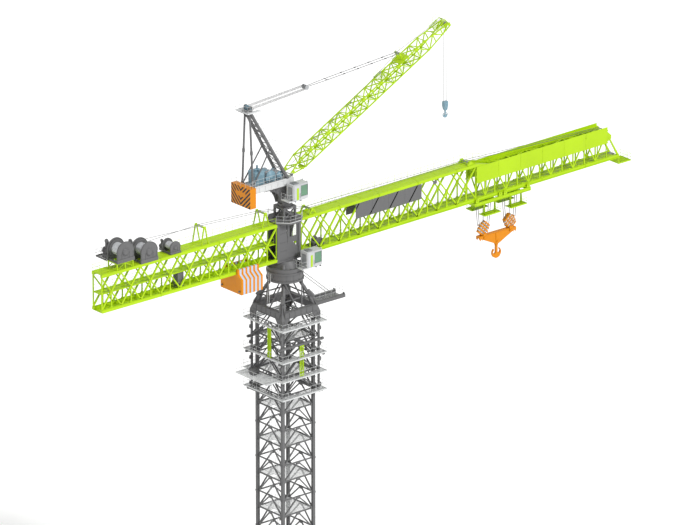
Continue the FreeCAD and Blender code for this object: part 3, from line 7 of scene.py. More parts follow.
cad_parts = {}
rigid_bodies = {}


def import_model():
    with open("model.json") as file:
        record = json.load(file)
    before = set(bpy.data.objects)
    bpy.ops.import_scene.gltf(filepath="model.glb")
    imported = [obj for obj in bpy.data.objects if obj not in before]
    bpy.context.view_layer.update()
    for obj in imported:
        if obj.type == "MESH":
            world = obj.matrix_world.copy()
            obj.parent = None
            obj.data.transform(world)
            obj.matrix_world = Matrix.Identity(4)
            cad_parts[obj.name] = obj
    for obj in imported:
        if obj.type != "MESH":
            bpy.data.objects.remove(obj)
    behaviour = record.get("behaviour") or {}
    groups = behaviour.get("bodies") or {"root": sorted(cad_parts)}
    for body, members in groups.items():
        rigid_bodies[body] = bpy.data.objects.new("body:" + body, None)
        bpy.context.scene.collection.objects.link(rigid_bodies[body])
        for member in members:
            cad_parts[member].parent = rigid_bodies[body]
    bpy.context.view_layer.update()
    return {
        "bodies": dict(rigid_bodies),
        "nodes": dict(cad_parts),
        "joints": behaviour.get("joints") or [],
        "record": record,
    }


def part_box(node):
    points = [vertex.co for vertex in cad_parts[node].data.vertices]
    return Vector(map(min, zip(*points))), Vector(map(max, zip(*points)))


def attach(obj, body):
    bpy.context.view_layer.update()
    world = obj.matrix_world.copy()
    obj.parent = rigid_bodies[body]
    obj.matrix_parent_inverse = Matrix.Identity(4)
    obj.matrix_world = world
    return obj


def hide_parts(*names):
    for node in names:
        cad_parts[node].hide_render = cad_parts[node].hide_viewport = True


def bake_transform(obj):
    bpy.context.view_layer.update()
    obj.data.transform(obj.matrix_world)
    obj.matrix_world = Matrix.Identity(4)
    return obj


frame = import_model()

# Lengths are in millimetres here and become metres in Piece.done().
V = Vector
MM = 0.001
X, Y, Z = V((1, 0, 0)), V((0, 1, 0)), V((0, 0, 1))

# ---- sizes shared with the frame ---------------------------------------------------------
MAST_HALF, POST, MAST_TOP, SECTION, MID_RAIL = 285, 40, 4000, 500, 270
CLIMB_HALF = 330
LEVELS = (3000, 3260, 3530, 3980)
DRUM_RADIUS, DRUM_LOW, DRUM_HIGH = 245, 4565, 4700
RING_LOW, RING_HIGH, INTRO_TOP = 4120, 4215, 4137
JIB_LOW, JIB_HIGH, DECK_TOP = 4860.3, 5395.3, 5415.3
JIB_SLOPE = math.tan(math.radians(0.85))
ROOT, KNEE, STEP, OUTER_END, JIB_END = 250, 3272, 340, 5630, 5850
COUNTER_BAY = 331.5
COUNTER_START, COUNTER_BAYS = -220, 9
COUNTER_END = COUNTER_START - COUNTER_BAYS * COUNTER_BAY
JIB_HEIGHT, STEP_DROP, JIB_BAY = 535, 80, 343
RAIL_HEIGHT = 100
LUFF_DECK = 6010.6
LUFF_FOOT = V((38, 0, 6045.6))
LUFF_ANGLE = math.radians(28.3)
ALONG = V((math.cos(LUFF_ANGLE), 0, math.sin(LUFF_ANGLE)))
ACROSS = V((-math.sin(LUFF_ANGLE), 0, math.cos(LUFF_ANGLE)))
HEAD = V((-630, 0, 7109.6))
TROLLEY_X = 3725
BLOCKS = (3490, 3960)
# name, x, height of its stand, radius of its side plates, radius of the wound rope, half width
WINCHES = (
    ("outer", -2804, 95, 140, 82, 110),
    ("inner", -2405, 0, 140, 82, 110),
    ("small", -1948, 0, 85, 50, 90),
)
TRESTLES = ((-1452, 262), (-410, 212))


def low(x):
    return JIB_LOW + max(x - ROOT, 0) * JIB_SLOPE


def high(x):
    share = min(max((x - KNEE) / STEP, 0), 1)
    return low(x) + JIB_HEIGHT - STEP_DROP * share


# ---- materials ---------------------------------------------------------------------------
def node(tree, kind, **values):
    made = tree.nodes.new(kind)
    for key, value in values.items():
        if key in made.inputs:
            made.inputs[key].default_value = value
        else:
            setattr(made, key, value)
    return made


def noise(tree, place, stretch, scale, detail=4.0):
    """Noise over the object's own coordinates, stretched by a vector."""
    turn = node(tree, "ShaderNodeMapping")
    turn.inputs["Scale"].default_value = stretch
    tree.links.new(place, turn.inputs["Vector"])
    made = node(tree, "ShaderNodeTexNoise", Scale=scale, Detail=detail)
    tree.links.new(turn.outputs["Vector"], made.inputs["Vector"])
    return made.outputs["Fac"]


def ramp(tree, value, low_at, high_at, low_to, high_to):
    made = node(tree, "ShaderNodeMapRange")
    for key, number in (("From Min", low_at), ("From Max", high_at), ("To Min", low_to),
                        ("To Max", high_to)):
        made.inputs[key].default_value = number
    tree.links.new(value, made.inputs["Value"])
    return made.outputs["Result"]


def mixed(tree, share, first, second):
    """Colour mix; first and second are colours or sockets."""
    made = node(tree, "ShaderNodeMix", data_type="RGBA")
    for socket, value in ((made.inputs[6], first), (made.inputs[7], second)):
        if isinstance(value, tuple):
            socket.default_value = value + (1.0,)
        else:
            tree.links.new(value, socket)
    if isinstance(share, float):
        made.inputs[0].default_value = share
    else:
        tree.links.new(share, made.inputs[0])
    return made.outputs[2]


def shade(colour, factor):
    return tuple(min(c * factor, 1.0) for c in colour)


def start(name):
    made = bpy.data.materials.new(name)
    made.use_nodes = True
    tree = made.node_tree
    return made, tree, tree.nodes["Principled BSDF"], node(tree, "ShaderNodeTexCoord").outputs["Object"]


def paint(name, colour, rough=0.42, dirt=(0.09, 0.085, 0.07), amount=0.16, coat=0.15, grain=0.12):
    """Sprayed paint: slow shifts of shade, rain streaks of dust, fine orange peel."""
    made, tree, shader, place = start(name)
    slow = ramp(tree, noise(tree, place, (1, 1, 1), 2.2), 0.3, 0.7, 0.0, 1.0)
    base = mixed(tree, slow, shade(colour, 0.94), shade(colour, 1.05))
    streak = ramp(tree, noise(tree, place, (9, 9, 0.9), 3.0, 6.0), 0.55, 0.78, 0.0, amount)
    dusty = mixed(tree, streak, base, tuple(0.5 * a + 0.5 * b for a, b in zip(colour, dirt)))
    specks = ramp(tree, noise(tree, place, (1, 1, 1), 75.0, 3.0), 0.68, 0.74, 0.0, amount * 0.9)
    final = mixed(tree, specks, dusty, shade(colour, 0.55))
    tree.links.new(final, shader.inputs["Base Color"])
    gloss = ramp(tree, noise(tree, place, (1, 1, 1), 14.0), 0.3, 0.7, rough - 0.07, rough + 0.12)
    tree.links.new(gloss, shader.inputs["Roughness"])
    bump = node(tree, "ShaderNodeBump", Strength=grain, Distance=0.0008)
    tree.links.new(noise(tree, place, (1, 1, 1), 420.0, 2.0), bump.inputs["Height"])
    tree.links.new(bump.outputs["Normal"], shader.inputs["Normal"])
    shader.inputs["Specular IOR Level"].default_value = 0.22
    shader.inputs["Coat Weight"].default_value = coat * 0.3
    shader.inputs["Coat Roughness"].default_value = 0.25
    return made


def rope_steel(name, colour, pitch=0.006):
    """Laid wire rope: slanting bands of painted shade in the strand grooves and painted highlight on the strand
    crests, with bump and grease.
    """
    made, tree, shader, place = start(name)
    turn = node(tree, "ShaderNodeMapping")
    turn.inputs["Rotation"].default_value = (0.6, 0.5, 0.4)
    tree.links.new(place, turn.inputs["Vector"])
    wave = node(tree, "ShaderNodeTexWave", Scale=0.3 / pitch, Distortion=1.0)
    tree.links.new(turn.outputs["Vector"], wave.inputs["Vector"])
    # painted shade and painted highlight: darker steel in the strand grooves, lighter steel on the strand crests
    strand_shade_and_highlight = mixed(tree, wave.outputs["Fac"], shade(colour, 0.7), shade(colour, 1.15))
    grease = ramp(tree, noise(tree, place, (1, 1, 1), 9.0), 0.5, 0.75, 0.0, 0.45)
    tree.links.new(mixed(tree, grease, strand_shade_and_highlight, shade(colour, 0.45)), shader.inputs["Base Color"])
    bump = node(tree, "ShaderNodeBump", Strength=0.5, Distance=0.001)
    tree.links.new(wave.outputs["Fac"], bump.inputs["Height"])
    tree.links.new(bump.outputs["Normal"], shader.inputs["Normal"])
    shader.inputs["Metallic"].default_value = 0.55
    shader.inputs["Roughness"].default_value = 0.42
    return made


def tinted_glass(name, colour):
    made, tree, shader, place = start(name)
    film = ramp(tree, noise(tree, place, (2, 2, 1), 6.0), 0.35, 0.75, 0.06, 0.22)
    tree.links.new(film, shader.inputs["Roughness"])
    drift = ramp(tree, noise(tree, place, (1, 1, 1), 3.0), 0.3, 0.7, 0.0, 1.0)
    tree.links.new(mixed(tree, drift, shade(colour, 0.9), shade(colour, 1.1)), shader.inputs["Base Color"])
    shader.inputs["Alpha"].default_value = 0.82
    shader.inputs["IOR"].default_value = 1.5
    return made


def hazard(name, colour, back):
    """Orange paint with black chevrons on the face behind the plane x = back."""
    made = paint(name, colour)
    tree = made.node_tree
    shader = tree.nodes["Principled BSDF"]
    base = shader.inputs["Base Color"].links[0].from_socket
    split = node(tree, "ShaderNodeSeparateXYZ")
    tree.links.new(node(tree, "ShaderNodeTexCoord").outputs["Object"], split.inputs[0])

    def sum_of(kind, a, b):
        step = node(tree, "ShaderNodeMath", operation=kind)
        for socket, value in zip(step.inputs, (a, b)):
            if isinstance(value, float):
                socket.default_value = value
            else:
                tree.links.new(value, socket)
        return step.outputs[0]

    slant = sum_of("SUBTRACT", split.outputs["Z"], sum_of("ABSOLUTE", split.outputs["Y"], 0.0))
    band = sum_of("FRACT", sum_of("MULTIPLY", slant, 15.5), 0.0)
    stripe = sum_of("GREATER_THAN", band, 0.5)
    side = sum_of("LESS_THAN", split.outputs["X"], back)
    plate = sum_of("GREATER_THAN", sum_of("ABSOLUTE", sum_of("SUBTRACT", split.outputs["Z"], 5.93), 0.0),
                   0.032)
    wide = sum_of("GREATER_THAN", sum_of("ABSOLUTE", split.outputs["Y"], 0.0), 0.1)
    bare = sum_of("MAXIMUM", plate, wide)
    mask = sum_of("MULTIPLY", sum_of("MULTIPLY", stripe, side), bare)
    tree.links.new(mixed(tree, mask, base, (0.022, 0.021, 0.02)), shader.inputs["Base Color"])
    return made


def chequered(name, colour):
    """Painted deck plate with a raised diamond pattern."""
    made = paint(name, colour, amount=0.22)
    tree = made.node_tree
    shader = tree.nodes["Principled BSDF"]
    place = node(tree, "ShaderNodeTexCoord").outputs["Object"]
    checks = node(tree, "ShaderNodeTexChecker", Scale=90.0)
    tree.links.new(place, checks.inputs["Vector"])
    bump = node(tree, "ShaderNodeBump", Strength=0.5, Distance=0.001)
    tree.links.new(checks.outputs["Fac"], bump.inputs["Height"])
    tree.links.new(bump.outputs["Normal"], shader.inputs["Normal"])
    return made


LIME = (0.365, 0.555, 0.004)
GREY = (0.118, 0.118, 0.120)
ORANGE = (0.585, 0.200, 0.0)
M = {
    "lime_paint": paint("lime_paint", LIME),
    "dark_grey_paint": paint("dark_grey_paint", GREY, rough=0.5, coat=0.05, dirt=(0.3, 0.28, 0.25)),
    "light_grey_grating": paint("light_grey_grating", (0.56, 0.57, 0.57), rough=0.5, coat=0.0, amount=0.25),
    "orange_paint": paint("orange_paint", ORANGE),
    "pale_grey_paint": paint("pale_grey_paint", (0.42, 0.49, 0.60)),
    "blue_grey_machinery": paint("blue_grey_machinery", (0.17, 0.28, 0.34), rough=0.36, coat=0.3),
    "cab_light_grey": paint("cab_light_grey", (0.47, 0.48, 0.49), coat=0.3, amount=0.1),
    "tinted_glass": tinted_glass("tinted_glass", (0.13, 0.27, 0.17)),
    "steel_rope": rope_steel("steel_rope", (0.15, 0.15, 0.155)),
    "drum_grey": paint("drum_grey", (0.36, 0.37, 0.38), rough=0.45, coat=0.0),
}
LIME_DECK = chequered("lime_deck", LIME)
WOUND_ROPE = rope_steel("wound_rope", (0.55, 0.56, 0.58), 0.012)
HAZARD = hazard("hazard_orange", ORANGE, -0.7594)
TRIM = paint("cab_mid_grey", (0.22, 0.23, 0.24), amount=0.1)


# ---- mesh pieces -------------------------------------------------------------------------
class Piece:
    """Collects bars, tubes, plates and turned shapes into one mesh."""

    def __init__(self):
        self.verts, self.faces, self.smooth = [], [], []

    def add(self, verts, faces, smooth=False):
        first = len(self.verts)
        self.verts += [V(v) for v in verts]
        self.faces += [tuple(first + i for i in face) for face in faces]
        self.smooth += [smooth] * len(faces)

    def loft(self, rings, smooth=False, caps=True):
        """Rings of equal length, joined in order."""
        count = len(rings[0])
        faces = []
        for r in range(len(rings) - 1):
            for i in range(count):
                j = (i + 1) % count
                a, b = r * count, (r + 1) * count
                faces.append((a + i, a + j, b + j, b + i))
        self.add([v for ring in rings for v in ring], faces, smooth)
        if caps:
            for ring, turn in ((rings[0], -1), (rings[-1], 1)):
                self.add(ring, [tuple(range(count))[::turn]])

    def bar(self, a, b, width, height=None, side=None):
        """Rectangular bar from a to b with chamfered edges."""
        a, b = V(a), V(b)
        height = height or width
        along = (b - a).normalized()
        side = V(side) if side else Z.cross(along)
        if side.length < 1e-5:
            side = Y.copy()
        side = (side - along * side.dot(along)).normalized()
        up = along.cross(side)
        w, h = width / 2, height / 2
        c = min(w, h) * 0.25
        shape = ((-w + c, -h), (w - c, -h), (w, -h + c), (w, h - c), (w - c, h), (-w + c, h), (-w, h - c),
                 (-w, -h + c))
        rings = [[p + side * s + up * t for s, t in shape] for p in (a, b)]
        self.loft(rings)

    def tube(self, a, b, radius, sides=8):
        self.turned(a, V(b) - V(a), [(0, radius), (1, radius)], sides, unit=True)

    def turned(self, origin, axis, profile, sides=24, unit=False, smooth=True):
        """Profile of (distance along the axis, radius) points turned about the axis."""
        origin, axis = V(origin), V(axis)
        scale = axis.length if unit else 1
        axis = axis.normalized()
        first = axis.orthogonal().normalized()
        second = axis.cross(first)
        rings = []
        for distance, radius in profile:
            ring = []
            for i in range(sides):
                t = 2 * math.pi * i / sides
                ring.append(origin + axis * distance * scale + (first * math.cos(t) + second * math.sin(t)) * radius)
            rings.append(ring)
        self.loft(rings, smooth)

    def box(self, x, y, z):
        """Chamfered box between a low and a high value on each axis."""
        middle = (y[0] + y[1]) / 2, (z[0] + z[1]) / 2
        self.bar((x[0], *middle), (x[1], *middle), y[1] - y[0], z[1] - z[0], Y)

    def plate(self, corners, normal, thickness):
        """Flat polygon plate, centred on its plane."""
        shift = V(normal).normalized() * thickness / 2
        self.loft([[V(c) - shift for c in corners], [V(c) + shift for c in corners]])

    def bolt(self, place, axis, radius, length):
        self.turned(place, axis, [(0, radius), (length, radius), (length, radius * 0.8)], 6, smooth=False)

    def done(self, name, body, slot, material=None, ride=True):
        mesh = bpy.data.meshes.new(name)
        mesh.from_pydata([tuple(v * MM) for v in self.verts], [], self.faces)
        mesh.polygons.foreach_set("use_smooth", self.smooth)
        mesh.update()
        mesh.materials.append(material or M[slot])
        made = bpy.data.objects.new(name, mesh)
        bpy.context.scene.collection.objects.link(made)
        if ride:
            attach(made, body)
        return made


def railing(piece, points, height=RAIL_HEIGHT, gap=110, rails=(0.5, 1.0), radius=2.0, toe=10, up=Z):
    """Guard rail along base points: posts, knee and top rails, and a toe board."""
    up = V(up)
    points = [V(p) for p in points]
    for a, b in zip(points, points[1:]):
        for share in rails:
            piece.tube(a + up * height * share, b + up * height * share, radius, 6)
        if toe:
            piece.bar(a + up * toe / 2, b + up * toe / 2, 1.5, toe, up.cross(b - a))
        count = max(1, round((b - a).length / gap))
        for i in range(count + 1):
            foot = a.lerp(b, i / count)
            piece.tube(foot, foot + up * height, radius, 6)


def grating(piece, x, y, top, deep=6, pitch=14, frame=8):
    """Open deck of bearing bars and cross rods inside an edge frame."""
    z = top - deep / 2
    for a, b in (((x[0], y[0]), (x[1], y[0])), ((x[0], y[1]), (x[1], y[1]))):
        inward = frame / 2 if a[1] == y[0] else -frame / 2
        piece.bar((a[0], a[1] + inward, z), (b[0], b[1] + inward, z), frame, deep)
    for edge, inward in ((x[0], frame / 2), (x[1], -frame / 2)):
        piece.bar((edge + inward, y[0] + frame, z), (edge + inward, y[1] - frame, z), frame, deep)
    inner_x, inner_y = (x[0] + frame, x[1] - frame), (y[0] + frame, y[1] - frame)
    for i in range(1, round((inner_x[1] - inner_x[0]) / pitch)):
        at = inner_x[0] + i * pitch
        if at < inner_x[1]:
            piece.add(*slat((at, inner_y[0], z), (at, inner_y[1], z), 2.0, deep - 1))
    for i in range(1, round((inner_y[1] - inner_y[0]) / pitch)):
        at = inner_y[0] + i * pitch
        if at < inner_y[1]:
            piece.add(*slat((inner_x[0], at, z + 1), (inner_x[1], at, z + 1), 1.6, 2))


def slat(a, b, width, height):
    """Plain bar of a grating as vertices and faces."""
    a, b = V(a), V(b)
    side = Z.cross((b - a).normalized()) * width / 2
    up = Z * height / 2
    verts = [p + side * s + up * t for p in (a, b) for s, t in ((-1, -1), (1, -1), (1, 1), (-1, 1))]
    faces = [(0, 3, 2, 1), (4, 5, 6, 7), (0, 1, 5, 4), (1, 2, 6, 5), (2, 3, 7, 6), (3, 0, 4, 7)]
    return verts, faces


def sheave(piece, centre, axis, radius, width, hub=0.3):
    """Rope sheave with a groove, web and hub."""
    w = width / 2
    groove = width * 0.55
    profile = [(-w * 1.5, radius * 0.12), (-w * 1.5, radius * hub), (-w * 0.5, radius * hub),
               (-w * 0.5, radius * 0.8), (-w, radius * 0.82), (-w, radius), (0, radius - groove), (w,
                                                            radius),
               (w, radius * 0.82), (w * 0.5, radius * 0.8), (w * 0.5, radius * hub), (w * 1.5, radius * hub),
               (w * 1.5, radius * 0.12)]
    piece.turned(centre, axis, profile, 28)


def ladder(piece, foot, head, across, width=36, step=28, radius=2.0, hoops=0, out=None):
    """Ladder with optional safety hoops on the out side."""
    foot, head, across = V(foot), V(head), V(across).normalized()
    along = (head - foot).normalized()
    length = (head - foot).length
    for side in (-1, 1):
        piece.bar(foot + across * side * width / 2, head + across * side * width / 2, 3, 5, across)
    for i in range(1, int(length / step)):
        middle = foot + along * step * i
        piece.tube(middle - across * width / 2, middle + across * width / 2, 1.4, 5)
    if hoops:
        out = V(out).normalized()
        reach, deep = width * 0.9, width * 1.7
        arcs = []
        count = int((length - 180) / hoops)
        for i in range(count + 1):
            base = foot + along * (160 + i * hoops)
            arc = []
            for k in range(9):
                t = math.pi * k / 8
                arc.append(base + across * reach * math.cos(t) + out * deep * math.sin(t))
            for a, b in zip(arc, arc[1:]):
                piece.tube(a, b, 1.3, 5)
            arcs.append(arc)
        for k in (0, 2, 4, 6, 8):
            piece.tube(arcs[0][k], arcs[-1][k], 1.2, 5)


# ---- camera, floor and light -------------------------------------------------------------
def stage():
    target = V((1.671, 0.642, 4.192))
    place = V((-77.43, -93.58, 50.19))
    data = bpy.data.cameras.new("camera")
    data.lens, data.sensor_width = 500, 36
    data.clip_start, data.clip_end = 1.0, 1500
    camera = bpy.data.objects.new("camera", data)
    camera.location = place
    camera.rotation_euler = (target - place).to_track_quat("-Z", "Y").to_euler()
    bpy.context.scene.collection.objects.link(camera)
    bpy.context.scene.camera = camera
    reach = 400
    mesh = bpy.data.meshes.new("floor")
    mesh.from_pydata([(-reach, -reach, 0), (reach, -reach, 0), (reach, reach, 0), (-reach, reach, 0)], [],
                     [(0, 1, 2, 3)])
    floor = bpy.data.objects.new("floor", mesh)
    made, tree, shader, where = start("floor_pale")
    cloud = ramp(tree, noise(tree, where, (1, 1, 1), 0.6), 0.3, 0.7, 0.0, 1.0)
    tree.links.new(mixed(tree, cloud, (0.93, 0.93, 0.93), (0.96, 0.96, 0.955)), shader.inputs["Base Color"])
    shader.inputs["Roughness"].default_value = 0.9
    shader.inputs["Specular IOR Level"].default_value = 0.1
    mesh.materials.append(made)
    bpy.context.scene.collection.objects.link(floor)
    world = bpy.data.worlds.new("studio")
    bpy.context.scene.world = world
    world.use_nodes = True
    world.node_tree.nodes["Background"].inputs["Color"].default_value = (1, 1, 1, 1)
    world.node_tree.nodes["Background"].inputs["Strength"].default_value = 0.78
    for name, away, strength, angle in (("key", (0.25, -0.8, 0.62), 2.3, 12),
                                        ("fill", (-0.8, -0.1, 0.6), 0.5, 40)):
        light = bpy.data.lights.new(name, "SUN")
        light.energy, light.angle = strength, math.radians(angle)
        lamp = bpy.data.objects.new(name, light)
        lamp.rotation_euler = V(away).to_track_quat("Z", "Y").to_euler()
        bpy.context.scene.collection.objects.link(lamp)
    bpy.context.scene.view_settings.view_transform = "Standard"
    bpy.context.scene.view_settings.look = "None"


# ---- CAD nodes ---------------------------------------------------------------------------
SLOTS = {
    "lime_paint": ["jib_chords", "jib_sides", "jib_bracing", "jib_tip", "counter_jib_chords",
                   "counter_jib_sides",
                   "counter_jib_decks", "wind_plates", "rope_trestles", "luffing_jib_sides",
                   "luffing_jib_cross_bracing", "pendant_post", "trolley_frame", "jacking_cylinders",
                   "trolley_platforms"],
    "orange_paint": ["ballast_orange", "luffer_counterweight", "hook_blocks", "equalizer_beam", "main_hook"],
    "pale_grey_paint": ["ballast_pale"],
    "blue_grey_machinery": ["luffer_machinery", "aux_hook", "aux_hook_block"],
    "cab_light_grey": ["lower_cab_shell", "upper_cab_shell"],
    "tinted_glass": ["lower_cab_glass", "upper_cab_glass"],
    "steel_rope": ["hoist_ropes", "main_hoist_ropes", "luffing_ropes", "aux_hoist_ropes", "pendants"],
    "drum_grey": ["outer_winch_drum", "inner_winch_drum", "small_winch_drum", "aux_tip_sheave"],
    "light_grey_grating": ["mast_landings", "climbing_platforms", "luffer_deck"],
}


def dress_nodes():
    slot_of = {name: slot for slot, names in SLOTS.items() for name in names}
    for name, obj in frame["nodes"].items():
        slot = slot_of.get(name, "dark_grey_paint")
        material = M[slot]
        if name == "counter_jib_decks":
            material = LIME_DECK
        if name == "luffer_counterweight":
            material = HAZARD
        obj.data.materials.clear()
        obj.data.materials.append(material)
        obj.data.polygons.foreach_set("material_index", [0] * len(obj.data.polygons))
    for name, width in (("main_hook", 5), ("equalizer_beam", 4), ("aux_hook", 2.5),
                        ("luffer_counterweight", 4),
                        ("lower_cab_shell", 3), ("upper_cab_shell", 3), ("ballast_orange", 2),
                        ("ballast_pale", 2), ("support_frame", 3), ("aux_hook_block", 3), ("luffer_deck",
                                                            2)):
        bevel = frame["nodes"][name].modifiers.new("edges", "BEVEL")
        bevel.width = width * MM
        bevel.segments = 2
        bevel.limit_method = "ANGLE"
        bevel.angle_limit = math.radians(40)


# ---- mast --------------------------------------------------------------------------------
def quarter(i):
    return Matrix.Rotation(math.pi / 2 * i, 3, "Z")


def mast_fittings():
    """Joint collars, climbing lugs and gussets on the mast's four sides."""
    metal = Piece()
    inner = MAST_HALF - POST
    for z in range(SECTION, MAST_TOP - 900, SECTION):
        for sx in (-1, 1):
            for sy in (-1, 1):
                x, y = sx * (MAST_HALF - POST / 2), sy * (MAST_HALF - POST / 2)
                for dz in (-11, 1):
                    reach = POST / 2 + 4
                    metal.box((x - reach, x + reach), (y - reach, y + reach), (z + dz, z + dz + 10))
                for a, b in ((-1, -1), (-1, 1), (1, -1), (1, 1)):
                    metal.bolt((x + a * 19, y + b * 19, z - 16), Z, 2.6, 32)
    for i in range(4):
        turn = quarter(i)
        face = -(MAST_HALF - POST / 2)
        for k in range(8):
            foot = k * SECTION
            for z, wide in ((foot + MID_RAIL, 46), (foot + SECTION, 46)):
                if z > MAST_TOP - 20:
                    continue
                corners = [(-wide, face, z + 8), (wide, face, z + 8), (wide * 0.4, face, z - 34),
                           (-wide * 0.4, face, z - 34)]
                metal.plate([turn @ V(c) for c in corners], turn @ Y, 18.5)
            z = foot + MID_RAIL
            for side in (-1, 1):
                x = side * (inner + 2)
                corners = [(x, face, z + 34), (x - side * 34, face, z + 6), (x - side * 34, face, z - 10),
                           (x, face, z - 40)]
                metal.plate([turn @ V(c) for c in corners], turn @ Y, 19)
                if z < MAST_TOP - 1000 and i % 2 == 1:
                    lug = side * (inner - 12)
                    metal.plate([turn @ V(c) for c in ((lug - 16, face - 14, z - 52),
                                                       (lug + 16, face - 14, z - 52),
                                                      (lug + 16, face - 14, z - 22), (lug - 16, face - 14,
                                                            z - 22))],
                                turn @ Y, 22)
                    metal.tube(turn @ V((lug, face - 30, z - 37)), turn @ V((lug, face, z - 37)), 8, 12)
    metal.done("mast_fittings", "mast", "dark_grey_paint")
    deck = Piece()
    for k in range(8):
        z = k * SECTION + MID_RAIL + 2
        grating(deck, (-inner + 80, inner), (-inner, inner), z, pitch=20)
        for y in ((-inner, -44), (44, inner)):
            grating(deck, (-inner, -inner + 80), y, z, pitch=20)
    wall = MAST_HALF - POST / 2 - 8
    ladder(deck, (2 - wall, 0, 60), (2 - wall, 0, MAST_TOP - 250), Y, 45, 30, 2.4)
    for k in range(7):
        foot = k * SECTION + MID_RAIL
        ladder(deck, (-150, 60, foot), (-30, 60, foot + SECTION), Y, 40, 30, 2.2)
    made = deck.done("mast_gratings", "mast", "light_grey_grating")
    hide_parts("mast_landings")


def base_bolts():
    metal = Piece()
    middle = MAST_HALF - POST / 2
    for x in (-middle, middle):
        for y in (-middle, middle):
            for dx in (-75, 75):
                for dy in (-75, 75):
                    metal.turned((x + dx, y + dy, 12), Z, [(0, 12), (2.5, 12), (2.5, 5), (3, 5)], 20,
                                 smooth=False)
                    metal.bolt((x + dx, y + dy, 14.5), Z, 8.5, 7)
                    metal.turned((x + dx, y + dy, 0.5), Z, [(0, 3.6), (32, 3.6), (34, 2.6)], 12)
            for t in (-1, 1):
                for along, across in ((X, Y), (Y, X)):
                    at = V((x, y, 12))
                    metal.plate([at + along * t * 30, at + along * t * 92, at + along * t * 30 + Z * 46],
                                across, 6)
    metal.done("base_bolts_and_ribs", "mast", "dark_grey_paint")


def climbing_frame():
    """Gratings and guard rails of the four platforms, guide shoes, ladders and gussets."""
    deck, rail, metal = Piece(), Piece(), Piece()
    ex, ey = CLIMB_HALF + 57, CLIMB_HALF + 87
    for number, top in enumerate(LEVELS):
        pitch = 12
        if number == 2:
            for x in ((-ex, -41), (41, ex)):
                grating(deck, x, (-ey, -CLIMB_HALF - 0.5), top, pitch=pitch)
            grating(deck, (-39, 39), (-ey, -CLIMB_HALF - 31), top, pitch=pitch)
        else:
            grating(deck, (-ex, ex), (-ey, -CLIMB_HALF - 0.5), top, pitch=pitch)
        grating(deck, (-ex, ex), (CLIMB_HALF + 0.5, ey), top, pitch=pitch)
        grating(deck, (CLIMB_HALF + 0.5, ex), (-CLIMB_HALF + 2, CLIMB_HALF - 2), top, pitch=pitch)
        back = ex + (208 if number == 1 else 0)
        grating(deck, (-back, -CLIMB_HALF - 0.5), (-CLIMB_HALF + 2, CLIMB_HALF - 2), top, pitch=pitch)
        corners = [(-ex, -ey), (ex, -ey), (ex, ey), (-ex, ey), (-ex, -ey)]
        if number == 1:
            c = CLIMB_HALF - 4
            corners = [(-ex, -ey), (ex, -ey), (ex, ey), (-ex, ey), (-ex, c), (-back, c), (-back, -c),
                       (-ex, -c), (-ex, -ey)]
        inset = [(x - math.copysign(3, x), y - math.copysign(3, y), top) for x, y in corners]
        railing(rail, inset, 105, 92)
        for y in (-260, -90, 90, 260):
            for side in (-1, 1):
                reach = back if side < 0 else ex
                metal.plate([(side * CLIMB_HALF, y, top - 6), (side * reach, y, top - 6),
                             (side * reach, y, top - 12),
                             (side * CLIMB_HALF, y, top - 34)], Y, 4)
                metal.plate([(y, side * CLIMB_HALF, top - 6), (y, side * ey, top - 6),
                             (y, side * ey, top - 12),
                             (y, side * CLIMB_HALF, top - 34)], X, 4)
    made = deck.done("climbing_gratings", "mast", "light_grey_grating")
    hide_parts("climbing_platforms")
    rail.done("climbing_rails", "mast", "light_grey_grating")
    for z in (3055, 3420, 3640, 3860):
        for sx in (-1, 1):
            for sy in (-1, 1):
                x, y = sx * CLIMB_HALF, sy * CLIMB_HALF
                metal.box((min(x, x + sx * 22), max(x, x + sx * 22)), (y - 27 * (sy > 0), y + 27 * (sy < 0)),
                          (z - 26, z + 26))
                sheave(metal, (x + sx * 14, y - sy * 12, z), Y, 17, 12)
    for k, (z0, z1) in enumerate(zip(LEVELS, LEVELS[1:])):
        at = 150 if k % 2 else 60
        ladder(rail_ladders, (CLIMB_HALF + 20, at - 90, z0), (CLIMB_HALF + 20, at + 20, z1 + 40), X, 30, 26)
    for z in (2979, 3715):
        for s in (-1, 1):
            for t in (-1, 1):
                metal.box((s * 345 - 12, s * 345 + 12), (t * 345 - 19, t * 345 + 19), (z - 19, z + 15))
    for s in (-1, 1):
        for t in (-1, 1):
            metal.box((s * 352 - 48, s * 352 + 48), (t * 345 - 14, t * 345 + 14), (3494, 3523))
            metal.box((s * 345 - 14, s * 345 + 14), (t * 352 - 48, t * 352 + 48), (3494, 3523))
    metal.done("climbing_shoes_and_brackets", "mast", "dark_grey_paint")


rail_ladders = Piece()


